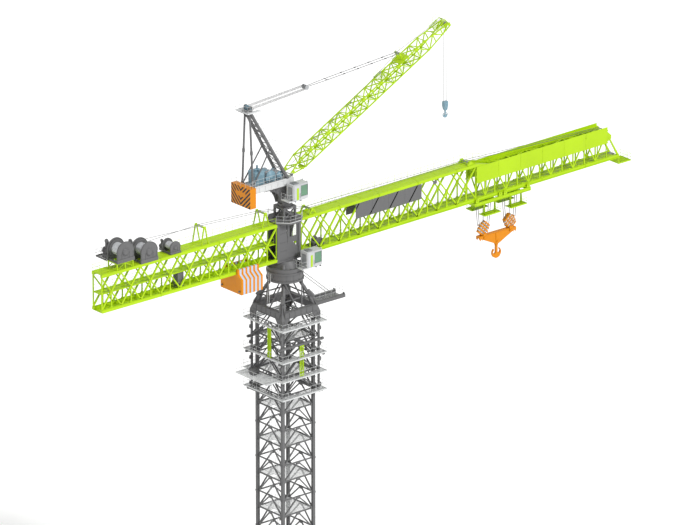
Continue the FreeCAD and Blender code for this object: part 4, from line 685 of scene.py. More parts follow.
def support_details():
    """Flange bolts of the drum, ribs on the legs, ladder and ring rail."""
    metal = Piece()
    for z in (DRUM_LOW + 24, DRUM_HIGH - 24):
        for i in range(40):
            t = 2 * math.pi * i / 40
            if z > 4600 and i % 2:
                continue
            metal.bolt((251 * math.cos(t), 251 * math.sin(t), z - (5 if z > 4600 else 0)), Z, 3, 5)
    for i in range(16):
        t = 2 * math.pi * (i + 0.5) / 16
        out = V((math.cos(t), math.sin(t), 0))
        a = out * (DRUM_RADIUS - 2)
        metal.plate([a + Z * 4589, a + out * 10 + Z * 4589, a + out * 4 + Z * 4615, a + out * 4 + Z * 4650,
                     a + out * 10 + Z * 4676, a + Z * 4676], out.cross(Z), 6)
    for sx in (-1, 1):
        for sy in (-1, 1):
            x, y = sx * 305, sy * 305
            for z in (4004, 4060):
                metal.box((x - 33, x + 33), (y - 33, y + 33), (z, z + 7))
            for d in (-18, 18):
                metal.tube((x + d, sy * 336, 4085), (x + d, sy * 341, 4085), 9, 14)
                metal.tube((sx * 336, y + d, 4085), (sx * 341, y + d, 4085), 9, 14)
            for a, b in ((X * sx, Y * sy), (Y * sy, X * sx)):
                root = a * 275 + b * 330
                metal.plate([root + Z * 4112, root + Z * 4216, root - b * 66 - a * 20 + Z * 4312,
                             root - b * 96 + Z * 4150], a, 6)
            metal.bar((sx * 268, sy * 268, 4312), (sx * 214, sy * 214, 4395), 46)
            for z in (4380, 4450, 4520):
                share = (z - 4314) / (DRUM_LOW - 4314)
                at = 238 + (122.5 - 238) * share
                metal.box((sx * at - 23, sx * at + 23), (sy * at - 23, sy * at + 23), (z, z + 6))
    for s in (-1, 1):
        for at in (-200, -100, 0, 100, 200):
            metal.box((at - 3, at + 3), (s * 337 - 3, s * 337 + 3), (RING_LOW + 4, RING_HIGH - 4))
            metal.box((s * 337 - 3, s * 337 + 3), (at - 3, at + 3), (RING_LOW + 4, RING_HIGH - 4))
        for z in (RING_LOW, RING_HIGH - 7):
            metal.box((-272, 272), (s * 337 - 4, s * 337 + 4), (z, z + 7))
            metal.box((s * 337 - 4, s * 337 + 4), (-272, 272), (z, z + 7))
        for t in (-1, 1):
            metal.bar((t * 40, s * 300, RING_HIGH), (t * 150, s * 170, DRUM_LOW + 4), 17)
            metal.bar((s * 300, t * 40, RING_HIGH), (s * 170, t * 150, DRUM_LOW + 4), 17)
        metal.bar((-235, s * 235, 4330), (235, s * 235, 4330), 16)
        metal.bar((s * 235, -235, 4330), (s * 235, 235, 4330), 16)
    metal.turned((0, 0, 4340), Z, [(0, 60), (20, 60), (24, 44), (215, 44), (220, 70), (226, 70)], 32)
    metal.done("support_bolts_and_ribs", "mast", "dark_grey_paint")
    rail = Piece()
    for s in (-1, 1):
        railing(rail, [(340, s * 76, INTRO_TOP + 2), (946, s * 76, INTRO_TOP + 2)], 90, 100, toe=0)
    railing(rail, [(946, -76, INTRO_TOP + 2), (946, 76, INTRO_TOP + 2)], 90, 76, toe=0)
    ladder(rail, (-296, 0, RING_HIGH), (-262, 0, 4690), Y, 40, 28, hoops=0)
    for y in (-70, -35, 0, 35, 70):
        rail.bar((340, y, INTRO_TOP - 38), (946, y, INTRO_TOP - 38), 3, 4)
    for k in range(24):
        rail.bar((345 + k * 25, -76, INTRO_TOP - 37), (345 + k * 25, 76, INTRO_TOP - 37), 2, 3)
    rail.done("support_rails", "mast", "light_grey_grating")
    trolley = Piece()
    for s in (-1, 1):
        trolley.box((930, 948), (s * 100 - 14, s * 100 + 14), (INTRO_TOP, INTRO_TOP + 16))
        trolley.tube((930, s * 100, INTRO_TOP + 8), (930, s * 100, INTRO_TOP + 24), 6, 10)
        trolley.box((338, 352), (s * 100 - 28, s * 100 + 28), (INTRO_TOP - 55, INTRO_TOP + 60))
    trolley.done("introduction_stops", "mast", "dark_grey_paint")


# ---- main jib and counter-jib ------------------------------------------------------------
def jib_details():
    """Chord flanges, gussets, diagonals, decks, rails, ladders, plate clips and name board frames."""
    metal = Piece()
    bay = JIB_BAY
    for k in range(1, 15):
        x = 185 + bay * k if k < 9 else KNEE + 393 * (k - 9)
        if x > OUTER_END - 30:
            break
        for s in (-1, 1):
            for z in (low(x) + 20, high(x) - 20):
                if k % 2 == 0:
                    metal.box((x - 7, x - 1), (s * 90 - 24, s * 90 + 24), (z - 23, z + 23))
                    metal.box((x + 1, x + 7), (s * 90 - 24, s * 90 + 24), (z - 23, z + 23))
    for k in range(9):
        x0, x1 = 185 + bay * k, 185 + bay * (k + 1)
        middle = (x0 + x1) / 2
        for s in (-1, 1):
            y = s * 90
            top, bottom = high(middle) - 40, low(middle) + 40
            centre = (top + bottom) / 2
            metal.plate([(middle - 26, y, centre), (middle, y, centre + 30), (middle + 26, y, centre),
                         (middle, y, centre - 30)], Y, 17)
            metal.plate([(middle - 30, y, bottom - 2), (middle + 30, y, bottom - 2),
                         (middle + 12, y, bottom + 22),
                         (middle - 12, y, bottom + 22)], Y, 17)
            for x in (x0, x1):
                if 200 < x < 3200:
                    metal.plate([(x - 34, y, high(x) - 38), (x + 34, y, high(x) - 38),
                                 (x + 12, y, high(x) - 66),
                                 (x - 12, y, high(x) - 66)], Y, 17)
                    metal.plate([(x - 34, y, low(x) + 38), (x + 34, y, low(x) + 38),
                                 (x + 12, y, low(x) + 62),
                                 (x - 12, y, low(x) + 62)], Y, 17)
    for k in range(12):
        x = KNEE + STEP + k * (OUTER_END - KNEE - STEP) / 12
        for s in (-1, 1):
            metal.plate([(x - 26, s * 90, low(x) + 38), (x + 26, s * 90, low(x) + 38),
                         (x + 8, s * 90, low(x) + 58),
                         (x - 8, s * 90, low(x) + 58)], Y, 17)
    for k in range(9):
        x0 = COUNTER_START - COUNTER_BAY * k
        middle = x0 - COUNTER_BAY / 2
        for s in (-1, 1):
            y = s * 90
            centre = (JIB_LOW + JIB_HIGH) / 2
            metal.plate([(middle - 26, y, centre), (middle, y, centre + 30), (middle + 26, y, centre),
                         (middle, y, centre - 30)], Y, 17)
            for x in (x0, middle):
                metal.plate([(x - 30, y, JIB_LOW + 38), (x + 30, y, JIB_LOW + 38), (x + 12, y, JIB_LOW + 62),
                             (x - 12, y, JIB_LOW + 62)], Y, 17)
            if k in (3, 6):
                for z in (JIB_LOW + 20, JIB_HIGH - 20):
                    metal.box((x0 - 7, x0 - 1), (y - 24, y + 24), (z - 23, z + 23))
                    metal.box((x0 + 1, x0 + 7), (y - 24, y + 24), (z - 23, z + 23))
    metal.done("jib_flanges_and_gussets", "slewing_part", "lime_paint")
    thick = Piece()
    for s in (-1, 1):
        for k in range(9):
            for x0, x1, bottom, top in ((185 + bay * k, 185 + bay * (k + 1), low, high),
                                        (COUNTER_START - COUNTER_BAY * (k + 1),
                                         COUNTER_START - COUNTER_BAY * k, low, lambda x: JIB_HIGH)):
                thick.bar((x0 + 6, s * 90, bottom(x0) + 46), (x1 - 6, s * 90, top(x1) - 46), 22, 24, Y)
                thick.bar((x0 + 6, s * 90, top(x0) - 46), (x1 - 6, s * 90, bottom(x1) + 46), 17, 17, Y)
    thick.done("jib_diagonals", "slewing_part", "lime_paint")
    deck = Piece()
    for k in range(9):
        x0, x1 = 262 + 334.4 * k, 262 + 334.4 * (k + 1) - 4
        corners = [(x0, -68, high(x0) - 3), (x1, -68, high(x1) - 3), (x1, 68, high(x1) - 3),
                   (x0, 68, high(x0) - 3)]
        deck.plate(corners, Z, 3)
        for y in (-68, -34, 0, 34, 68):
            deck.bar((x0, y, high(x0) - 7), (x1, y, high(x1) - 7), 5, 6)
    for k in range(16):
        x0, x1 = 262 + 345 * k, 262 + 345 * (k + 1) - 4
        corners = [(x0, -68, low(x0) + 34), (x1, -68, low(x1) + 34), (x1, 68, low(x1) + 34),
                   (x0, 68, low(x0) + 34)]
        deck.plate(corners, Z, 3)
    deck.done("jib_decks", "slewing_part", "lime_paint", LIME_DECK)
    rail = Piece()
    y = 104
    railing(rail, [(260, y, high(260)), (KNEE, y, high(KNEE))], 92, 115, toe=0, radius=1.8)
    railing(rail, [(260, -y, high(260)), (420, -y, high(420))], 92, 80, toe=0, radius=1.8)
    railing(rail, [(KNEE, y, high(KNEE)), (KNEE + STEP, y, high(KNEE + STEP))], 92, 115, toe=0, radius=1.8)
    for s in (-1, 1):
        railing(rail, [(-1840, s * y, JIB_HIGH), (-250, s * y, JIB_HIGH)], 95, 115, toe=8, radius=1.8)
        railing(rail, [(COUNTER_END + 4, s * y, JIB_HIGH), (-2960, s * y, JIB_HIGH)], 95, 100, toe=8,
                radius=1.8)
        railing(rail, [(COUNTER_END + 4, s * 80, 5116), (-1900, s * 80, 5116)], 95, 172.8, toe=8, radius=1.8)
        railing(rail, [(-1760, s * 80, 5116), (-260, s * 80, 5116)], 95, 172.8, toe=8, radius=1.8)
        railing(rail, [(COUNTER_END + 4, s * 66, 4868), (-1100, s * 66, 4868)], 95, 172.8, toe=0, radius=1.6)
    railing(rail, [(COUNTER_END + 4, -y, JIB_HIGH), (COUNTER_END + 4, y, JIB_HIGH)], 95, 104, toe=8,
            radius=1.8)
    tip_z = low(JIB_END) - 94
    x0, x1 = JIB_END - 6, JIB_END + 216
    railing(rail, [(x0, -106, tip_z), (x1, -106, tip_z), (x1, 106, tip_z), (x0, 106, tip_z)], 98, 72,
            radius=1.8)
    for k in range(10):
        x = JIB_END + 20 * k + 5
        rail.bar((x, -104, tip_z + 1.5), (x, 104, tip_z + 1.5), 3, 3)
    for s in (-1, 1):
        for k in range(5):
            rail.bar((x0 + 4, s * 22 * k, tip_z + 1), (x1 - 4, s * 22 * k, tip_z + 1), 2, 2)
    ladder(rail, (225, 82, JIB_LOW + 10), (225, 82, JIB_HIGH + 60), X, 36, 28)
    ladder(rail, (-1000, 40, 4868), (-900, 40, 5112), Y, 36, 28)
    ladder(rail, (-2600, 40, 4868), (-2500, 40, 5112), Y, 36, 28)
    rail.done("jib_rails", "slewing_part", "lime_paint")
    clips = Piece()
    for k in range(7):
        x = KNEE + 393 * k
        for s in (-1, 1):
            for z in (low(x) + 262, low(x) + 350, low(x) + 440):
                clips.box((x - 9, x + 9), (s * 112 - 3.5, s * 112 + 3.5), (z - 8, z + 8))
    for s in (-1, 1):
        for k in range(24):
            x = 1165 + k * 48.5
            for z in (high(x) - 55, high(x) - 245):
                clips.bolt((x, s * 100.5, z), Y * s, 2.6, 2.4)
    for k in range(6):
        x = KNEE + 393 * (k + 0.5)
        clips.tube((x, -96, low(x) + 415), (x, 96, low(x) + 415), 6, 10)
    clips.done("plate_clips", "slewing_part", "lime_paint")
    frames = Piece()
    for s in (-1, 1):
        a, b = V((1150, s * 101.5, high(1150) - 45)), V((2300, s * 101.5, high(2300) - 45))
        drop = Z * -210
        for p, q in ((a, b), (a + drop, b + drop), (a, a + drop), (b, b + drop)):
            frames.bar(p, q, 3, 7, Y)
        for k in range(1, 4):
            p = a.lerp(b, k / 4)
            frames.bar(p, p + drop, 2, 4, Y)
    frames.box((2500, 2560), (-120, -112), (high(2530) - 96, high(2530) - 50))
    frames.done("name_board_frames", "slewing_part", "dark_grey_paint")


def jib_machinery():
    """Trolley winch, guide sheaves and head cheeks in and on the jib."""
    metal = Piece()
    z = low(500) + 46
    metal.box((430, 640), (-58, 58), (z, z + 8))
    metal.turned((540, -48, z + 62), Y, [(0, 50), (6, 50), (6, 38), (90, 38), (90, 50), (96, 50)], 32)
    metal.turned((470, -50, z + 40), Y, [(0, 20), (4, 24), (70, 24), (76, 17), (92, 15)], 24)
    metal.box((590, 640), (-40, 40), (z + 8, z + 70))
    for s in (-1, 1):
        metal.box((500, 582), (s * 55 - 4, s * 55 + 4), (z + 4, z + 70))
    metal.done("jib_winch_and_boxes", "slewing_part", "dark_grey_paint")
    wheels = Piece()
    for y in (-30, 30):
        sheave(wheels, (OUTER_END + 60, y, low(OUTER_END) + 330), Y, 46, 14)
        sheave(wheels, (JIB_END - 40, y, low(JIB_END) + 26), Y, 24, 10)
        for x, height in ((TRESTLES[0][0], 246), (TRESTLES[1][0], 196)):
            wheels.turned((x, y - 12, JIB_HIGH + height), Y, [(0, 17), (4, 17), (8, 12.2), (16, 12.2),
                                                            (20, 17), (24, 17)], 20)
        for x, height in ((400, 64), (3180, 32)):
            wheels.turned((x, y - 12, high(x + 65) + height), Y,
                          [(0, 17), (4, 17), (8, 12.2), (16, 12.2), (20, 17), (24, 17)], 20)
    wheels.tube((OUTER_END + 60, -92, low(OUTER_END) + 330), (OUTER_END + 60, 92, low(OUTER_END) + 330), 9,
                12)
    wheels.tube((JIB_END - 40, -92, low(JIB_END) + 26), (JIB_END - 40, 92, low(JIB_END) + 26), 7, 12)
    wheels.done("jib_sheaves", "slewing_part", "drum_grey")
    head = Piece()
    for s in (-1, 1):
        head.plate([(OUTER_END - 10, s * 92, low(OUTER_END) + 440),
                    (OUTER_END + 84, s * 92, low(OUTER_END) + 350),
                    (OUTER_END + 84, s * 92, low(OUTER_END) + 300), (OUTER_END - 10, s * 92,
                                                            low(OUTER_END) + 260)], Y, 8)
    head.done("jib_head_cheeks", "slewing_part", "lime_paint")


def rope_pieces():
    """Rope runs on top of the jib, and the trolley's ropes inside it."""
    taut = Piece()
    tops = [(TRESTLES[0][0], JIB_HIGH + 260.8), (TRESTLES[1][0], JIB_HIGH + 210.8), (400, high(465) + 78.8),
            (3180, high(3245) + 46.8)]
    for x, z, y in ((-2804, JIB_HIGH + 95 + 140 + 85, -30), (-2405, JIB_HIGH + 140 + 85, 30)):
        points = [(x, y, z)] + [(a, y, b) for a, b in tops] + [(OUTER_END - 40, y, high(OUTER_END - 40) + 6)]
        points.append((OUTER_END + 60, y, low(OUTER_END) + 374))
        for a, b in zip(points, points[1:]):
            taut.tube(a, b, 3.2, 10)
    for y in (-14, 14):
        taut.tube((560, y, low(560) + 142), (JIB_END - 40, y, low(JIB_END) + 50), 1.6, 8)
        taut.tube((600, y * 3, low(600) + 58), (JIB_END - 40, y * 3, low(JIB_END) + 44), 1.6, 8)
    made = taut.done("hoist_rope_runs", "slewing_part", "steel_rope")
    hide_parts("hoist_ropes")


def arch(piece, x, y, z, radius, foot, thickness):
    """Side plate of a winch: round top on straight sides."""
    shape = [(x + radius, y, foot)]
    for k in range(25):
        a = math.pi * k / 24
        shape.append((x + radius * math.cos(a), y, z + radius * math.sin(a)))
    shape.append((x - radius, y, foot))
    piece.plate(shape, Y, thickness)


def winch_details():
    """Drums with wound rope, ribbed side plates, gear cases, motors and stands."""
    metal, stand = Piece(), Piece()
    for name, x, raised, radius, drum, half in WINCHES:
        z = JIB_HIGH + raised + radius
        inner = half - 14 - 5 - 7.5
        rope, barrel = Piece(), Piece()
        turns = int(2 * inner / 7)
        profile = [(0, drum - 6)]
        for i in range(turns):
            for k, share in ((0, 0.0), (1, 0.8), (2, 1.0), (3, 0.8)):
                profile.append(((i + k / 4) * 2 * inner / turns, drum + 0.4 + 2.4 * share))
        profile.append((2 * inner, drum - 6))
        rope.turned((x, -inner, z), Y, profile, 40)
        rope.done(name + "_drum_rope", name + "_drum", "drum_grey", WOUND_ROPE)
        flange = radius - 19
        for s in (-1, 1):
            barrel.turned((x, s * inner, z), Y * s, [(0, flange - 4), (0, flange), (7, flange),
                                                     (7, flange - 8),
                                                     (4, flange - 10), (4, drum * 0.6), (7, drum * 0.55), (7,
                                                            18)], 40)
            for k in range(6):
                a = math.pi * 2 * k / 6
                out = V((math.cos(a), 0, math.sin(a)))
                barrel.bar(V((x, s * (inner + 5), z)) + out * 20,
                           V((x, s * (inner + 5), z)) + out * (flange - 6), 4, 6, Y)
        barrel.tube((x, -half, z), (x, half, z), 17.8, 24)
        made = barrel.done(name + "_drum_barrel", name + "_drum", "dark_grey_paint")
        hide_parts(name + "_winch_drum")
        foot = JIB_HIGH + raised
        for s in (-1, 1):
            y = s * (half - 7)
            arch(metal, x, y, z, radius, foot, 12)
            metal.turned((x, s * half, z), Y * s, [(-3, radius * 0.4), (4, radius * 0.4), (4, radius * 0.28),
                                                   (10, radius * 0.26)], 28)
            for i in range(8):
                a = 2 * math.pi * i / 8
                metal.bolt((x + radius * 0.34 * math.cos(a), s * (half + 4),
                            z + radius * 0.34 * math.sin(a)), Y * s, 3, 3)
            for dx in (-0.92, -0.45, 0.45, 0.92):
                metal.box((x + dx * radius - 3, x + dx * radius + 3), (y - 10, y + 10), (foot + 14, z - 4))
            metal.box((x - radius - 4, x + radius + 4), (y - 16, y + 12), (foot, foot + radius * 0.36))
            rim = [(x + radius * math.cos(math.radians(a)),
                    z + radius * math.sin(math.radians(a))) for a in range(0, 181, 12)]
            for (xa, za), (xb, zb) in zip(rim, rim[1:]):
                metal.bar((xa, y, za), (xb, y, zb), 20, 6, Y)
        for dx in (-1, 1):
            metal.box((x + dx * radius * 0.86 - 10, x + dx * radius * 0.86 + 10), (-half + 8, half - 8),
                      (foot, foot + 26))
        away = x - drum * 0.9
        mz = z - radius * 0.35
        r = radius * 0.33
        metal.turned((away, half, mz), Y, [(0, r * 1.25), (8, r * 1.25), (10, r), (radius * 0.3, r),
                                           (radius * 0.3, r * 1.12),
                                           (radius * 0.34, r * 1.12), (radius * 0.36, r * 0.9), (radius,
                                                            r * 0.86),
                                           (radius * 1.02, r * 0.6), (radius * 1.06, r * 0.4)], 28)
        for i in range(14):
            a = 2 * math.pi * i / 14
            out = V((math.cos(a), 0, math.sin(a)))
            p = V((away, half + radius * 0.42, mz)) + out * r * 0.98
            metal.bar(p, p + Y * radius * 0.5, 2, r * 0.3, out.cross(Y))
        metal.turned((away, half + radius * 0.62, mz + r * 0.8), Z, [(0, r * 0.5), (radius * 0.5, r * 0.45)],
                     20)
        metal.turned((away - 12, half + radius * 0.62, mz + radius * 0.92), X,
                     [(0, r * 0.5), (3, r * 0.75), (21, r * 0.75),
                                                                              (24, r * 0.5)], 24)
        metal.box((away - r, away + r), (half + 4, half + radius * 0.9), (foot, mz - r * 0.8))
        if raised:
            for s in (-1, 1):
                for dx in (-1, 0, 1):
                    stand.bar((x + dx * (radius - 9), s * 92, JIB_HIGH),
                              (x + dx * (radius - 9), s * 92, foot - 14), 16)
                stand.box((x - radius, x + radius), (s * 92 - 9, s * 92 + 9), (foot - 16, foot))
                stand.bar((x - radius + 14, s * 92, JIB_HIGH + 6), (x - 8, s * 92, foot - 18), 8)
                stand.bar((x + radius - 14, s * 92, JIB_HIGH + 6), (x + 8, s * 92, foot - 18), 8)
            for dx in (-1, 0, 1):
                stand.bar((x + dx * (radius - 9), -84, foot - 8), (x + dx * (radius - 9), 84, foot - 8), 14)
    made = metal.done("winch_frames_and_motors", "slewing_part", "dark_grey_paint")
    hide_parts("winch_motors", "winch_frames")
    stand.done("winch_stand", "slewing_part", "lime_paint")
    deck = Piece()
    x, top = WINCHES[0][1], JIB_HIGH + 95
    grating(deck, (x - 165, x + 130), (125, 320), top + 4, pitch=14)
    for dx in (-155, 120):
        deck.bar((x + dx, 90, top - 4), (x + dx, 320, top - 4), 8, 10)
    railing(deck, [(x + 128, 318, top + 4), (x - 163, 318, top + 4), (x - 163, 127, top + 4)], 95, 95,
            radius=1.8)
    deck.done("winch_platform", "slewing_part", "dark_grey_paint")


def ballast_details():
    metal = Piece()
    for i in range(11):
        x = -565 - 33.3 * (i + 0.5)
        for s in (-1, 1):
            metal.turned((x - 5, s * 150, 4790), X, [(0, 14), (10, 14)], 16)
    for s in (-1, 1):
        metal.tube((-567, s * 180, 4640), (-929, s * 180, 4640), 7, 12)
        for x in (-553, -941):
            metal.bolt((x - 6, s * 180, 4640), X, 13, 12)
    metal.done("ballast_rods", "slewing_part", "dark_grey_paint")


def cab_details(name, body, x0, y0, z0):
    """Window frames, door, stripe, roof vent, lamp, wiper, seat and desk."""
    x1, y1, z1 = x0 + 255, y0 + 145, z0 + 225
    trim = Piece()
    sill, head = z0 + 51, z1 - 24
    seams = []
    for a, b in (((x1 + 1, y0 + 10, sill - 3), (x1 + 1, y1 - 10, sill - 3)),
                 ((x1 + 1, y0 + 10, head + 3), (x1 + 1, y1 - 10, head + 3)),
                 ((x1 + 1, y0 + 10, sill - 3), (x1 + 1, y0 + 10, head + 3)), ((x1 + 1, y1 - 10, sill - 3),
                                                            (x1 + 1, y1 - 10, head + 3)),
                 ((x1 + 1, (y0 + y1) / 2, sill), (x1 + 1, (y0 + y1) / 2, head))):
        seams.append((a, b, X))
    for left, right, bottom in ((x0 + 127.5, x1 - 12, sill),):
        y = y0 - 0.6
        for a, b in (((left, y, bottom), (right, y, bottom)), ((left, y, head), (right, y, head)),
                     ((left, y, bottom), (left, y, head)), ((right, y, bottom), (right, y, head))):
            seams.append((a, b, Y))
    for a, b, out in seams:
        trim.bar(a, b, 3, 5, out)
    trim.bar((x1 + 3, y0 + 40, sill), (x1 + 3, y0 + 86, sill + 62), 1.6, 3, X)
    trim.tube((x0 + 108, y0 - 11, sill - 10), (x0 + 108, y0 - 11, sill + 50), 2, 8)
    for z in (sill - 10, sill + 50):
        trim.tube((x0 + 108, y0 - 11, z), (x0 + 108, y0 - 3, z), 1.8, 8)
    trim.box((x0 + 30, x0 + 110), (y0 + 30, y0 + 115), (z1, z1 + 12))
    for k in range(6):
        trim.box((x0 + 36 + 12 * k, x0 + 42 + 12 * k), (y0 + 36, y0 + 109), (z1 + 12, z1 + 14))
    trim.box((x0 - 4, x0 + 1), (y0 + 30, y0 + 110), (z0 + 12, z0 + 190))
    trim.box((x0 - 6, x0 - 2), (y0 + 36, y0 + 104), (z0 + 20, z0 + 184))
    trim.box((x0 + 90, x0 + 150), (y0 + 50, y0 + 100), (z0 + 8, z0 + 70))
    trim.box((x0 + 90, x0 + 102), (y0 + 52, y0 + 98), (z0 + 64, z0 + 140))
    for y in (y0 + 26, y0 + 104):
        trim.box((x0 + 120, x0 + 190), (y, y + 16), (z0 + 8, z0 + 84))
    trim.done(name + "_trim", body, "dark_grey_paint", TRIM)
    lamp = Piece()
    for y in (y0 + 25, y1 - 25):
        lamp.turned((x1 - 8, y, z1 + 8), X, [(0, 7), (8, 10), (10, 9)], 18)
        lamp.box((x1 - 8, x1 - 2), (y - 3, y + 3), (z1 - 1, z1 + 6))
    lamp.turned((x0 + 160, (y0 + y1) / 2, z1), Z, [(0, 6), (4, 6), (5, 4), (16, 4), (18, 2)], 16)
    lamp.done(name + "_lamps", body, "cab_light_grey")
    stripe = Piece()
    stripe.box((x0 + 54, x0 + 88), (y0 - 5.6, y0 - 4), (z0 + 12, z0 + 178))
    stripe.done(name + "_stripe", body, "lime_paint")
    panel = Piece()
    panel.box((x0 + 16, x0 + 118), (y0 - 4.5, y0 + 1), (z0 + 6, z1 - 10))
    panel.box((x0 + 122, x1 - 8), (y0 - 3, y0 + 1), (z0 + 6, sill - 6))
    panel.box((x0 + 122, x1 - 8), (y0 - 3, y0 + 1), (head + 5, z1 - 6))
    panel.done(name + "_panel", body, "cab_light_grey")


def cab_platforms():
    rail = Piece()
    y0, y1, z = -335, -190, 4755.3
    grating(rail, (30, 110), (y0, y1 + 60), z, pitch=12)
    rail.box((104, 112), (y0, y1), (z - 12, z - 4))
    railing(rail, [(108, y0 + 3, z), (33, y0 + 3, z), (33, y1 + 56, z)], 100, 70, radius=1.8)
    for y in (y0 + 20, y1 + 40):
        rail.bar((34, y, z - 10), (112, y, z - 10), 8, 8)
    rail.done("lower_cab_platform", "slewing_part", "light_grey_grating")
    upper = Piece()
    grating(upper, (-170, -95), (-295, -125), 5745, pitch=12)
    railing(upper, [(-96, -292, 5745), (-167, -292, 5745), (-167, -128, 5745)], 100, 70, radius=1.8)
    upper.bar((-165, -140, 5737), (-60, -90, 5737), 8, 8)
    upper.bar((-165, -280, 5737), (-60, -280, 5737), 8, 8)
    upper.done("upper_cab_platform", "luffing_crane", "light_grey_grating")


def head_details():
    """Guard rail round the head deck, ring bolts and pedestal gussets."""
    rail, metal = Piece(), Piece()
    ring = []
    for i in range(9):
        t = math.radians(22.5 + 45 * i)
        ring.append(V((246 * math.cos(t), 246 * math.sin(t), DECK_TOP)))
    for a, b in zip(ring, ring[1:]):
        middle = (a + b) / 2
        if abs(middle.y) > 100:
            railing(rail, [a, b], 95, 80, radius=1.8)
    rail.done("head_deck_rails", "slewing_part", "light_grey_grating")
    for s in (-1, 1):
        y = s * 99
        metal.plate([(-182, y, 4884), (-10, y, 4884), (-40, y, 5120), (-64, y, 5372), (-182, y, 5372)], Y, 5)
        metal.plate([(-40, y, 4884), (150, y, 4884), (150, y, 4990), (60, y, 5090), (-30, y, 5190)], Y, 4)
        metal.plate([(60, y, 5372), (150, y, 5372), (150, y, 5300)], Y, 4)
        for z in (4990, 5110, 5240):
            metal.box((-182, -44), (s * 103 - 3, s * 103 + 3), (z, z + 6))
        for x in (-200, 165):
            metal.box((x - 24, x + 24), (s * 90 - 24, s * 90 + 24), (4862, 4876))
            metal.box((x - 24, x + 24), (s * 90 - 24, s * 90 + 24), (5378, 5393))
        metal.bar((-40, s * 60, 4880), (120, s * 60, 5380), 18)
    metal.box((-150, 110), (-62, 62), (4862, 4960))
    metal.turned((-20, -66, 5010), Y, [(0, 50), (8, 50), (8, 36), (124, 36), (124, 50), (132, 50)], 32)
    for s in (-1, 1):
        metal.plate([(-70, s * 72, 4960), (30, s * 72, 4960), (10, s * 72, 5040), (-50, s * 72, 5040)], Y, 8)
    for i in range(24):
        t = 2 * math.pi * i / 24
        metal.bolt((104 * math.cos(t), 104 * math.sin(t), 5592), Z, 3, 8)
    for sx in (-1, 1):
        for sy in (-1, 1):
            for a, b in ((X * -sx, Y), (Y * -sy, X)):
                p = V((sx * 96.5, sy * 96.5, 0)) + a * 12
                metal.plate([p + Z * 5417, p + a * 30 + Z * 5417, p + Z * 5452], b, 18)
                metal.plate([p + Z * 5576, p + a * 30 + Z * 5576, p + Z * 5540], b, 18)
            metal.box((sx * 96.5 - 22, sx * 96.5 + 22), (sy * 96.5 - 22, sy * 96.5 + 22), (5415, 5422))
    metal.box((-60, 60), (-60, 60), (5420, 5500))
    metal.turned((0, 0, 5500), Z, [(0, 40), (20, 40), (26, 30), (60, 30)], 28)
    metal.done("pedestal_fittings", "slewing_part", "dark_grey_paint")
    ring = Piece()
    for i in range(36):
        t = 2 * math.pi * i / 36
        ring.bolt((236 * math.cos(t), 236 * math.sin(t), 4753), Z, 3.4, 6)
    for i in range(4):
        t = math.pi / 4 + math.pi / 2 * i
        x, y = 205 * math.cos(t), 205 * math.sin(t)
        ring.turned((x, y, 4753), Z, [(0, 26), (30, 26), (32, 20), (62, 20), (66, 14)], 22)
    ring.done("turntable_motors", "slewing_part", "dark_grey_paint")


# ---- trolley and main hook ---------------------------------------------------------------
def trolley_details():
    rail, metal, wheels = Piece(), Piece(), Piece()
    slope = ALONG_JIB
    under = V((TROLLEY_X, 0, low(TROLLEY_X)))

    def at(x, y, z):
        return under + slope * x + Y * y + UP_JIB * z

    for offset in (-235, 235):
        for s in (-1, 1):
            y0, y1 = s * 73, s * 197
            x0, x1 = offset - 139, offset + 139
            deck = -211
            railing(rail, [at(x0, y0, deck), at(x0, y1, deck), at(x1, y1, deck), at(x1, y0, deck)], 80, 70,
                    radius=1.7)
            for k in range(20):
                x = x0 + 278 * (k + 0.5) / 20
                rail.bar(at(x, y0, deck + 1), at(x, y1, deck + 1), 2.4, 3)
            for t in (-1, 1):
                x = offset + t * 95
                rail.plate([at(x, s * 112, -58), at(x, s * 142, -58), at(x, s * 150, -214),
                            at(x, s * 104, -214)], X, 5)
        for y in (-20, 0, 20):
            sheave(wheels, at(offset, y, -80.4), Y, 38, 14)
        wheels.tube(at(offset, -60, -80.4), at(offset, 60, -80.4), 8, 14)
        for s in (-1, 1):
            metal.plate([at(offset - 34, s * 48, -22), at(offset + 34, s * 48, -22),
                         at(offset + 18, s * 48, -104),
                         at(offset - 18, s * 48, -104)], Y, 8)
            metal.bolt(at(offset, s * 52, -80.4), Y * s, 12, 6)
            metal.bar(at(offset - 60, s * 48, -40), at(offset + 60, s * 48, -40), 10, 30)
            metal.bar(at(offset - 130, s * 122, -40), at(offset - 20, s * 50, -40), 12, 24)
            metal.bar(at(offset + 130, s * 122, -40), at(offset + 20, s * 50, -40), 12, 24)
    for x in (-458, -42, 42, 458):
        for s in (-1, 1):
            place = at(x, s * 138.2, 20.3)
            metal.turned(place, Y * s, [(0, 13), (3, 13), (3, 8), (8, 7)], 20)
            for k in range(4):
                a = math.pi / 2 * k + 0.78
                metal.bolt(place + ALONG_JIB * 10 * math.cos(a) + UP_JIB * 10 * math.sin(a) + Y * s * 2.5,
                           Y * s, 1.8, 2)
            metal.turned(at(x, s * 115, 20.3), Y * s, [(0, 14.2), (2, 17), (9, 17), (10, 14.2)], 24)
    for s in (-1, 1):
        metal.bar(at(-500, s * 137, -64), at(500, s * 137, -64), 16, 4)
        metal.bar(at(-500, s * 137, -18), at(500, s * 137, -18), 16, 4)
        for k in range(9):
            x = -480 + k * 120
            metal.bar(at(x, s * 138.6, -60), at(x, s * 138.6, -20), 3, 6, Y)
    rail.done("trolley_rails", "trolley", "lime_paint")
    metal.done("trolley_fittings", "trolley", "lime_paint")
    wheels.done("trolley_sheaves", "trolley", "drum_grey")


ALONG_JIB = V((math.cos(math.radians(0.85)), 0, math.sin(math.radians(0.85))))
UP_JIB = V((-math.sin(math.radians(0.85)), 0, math.cos(math.radians(0.85))))


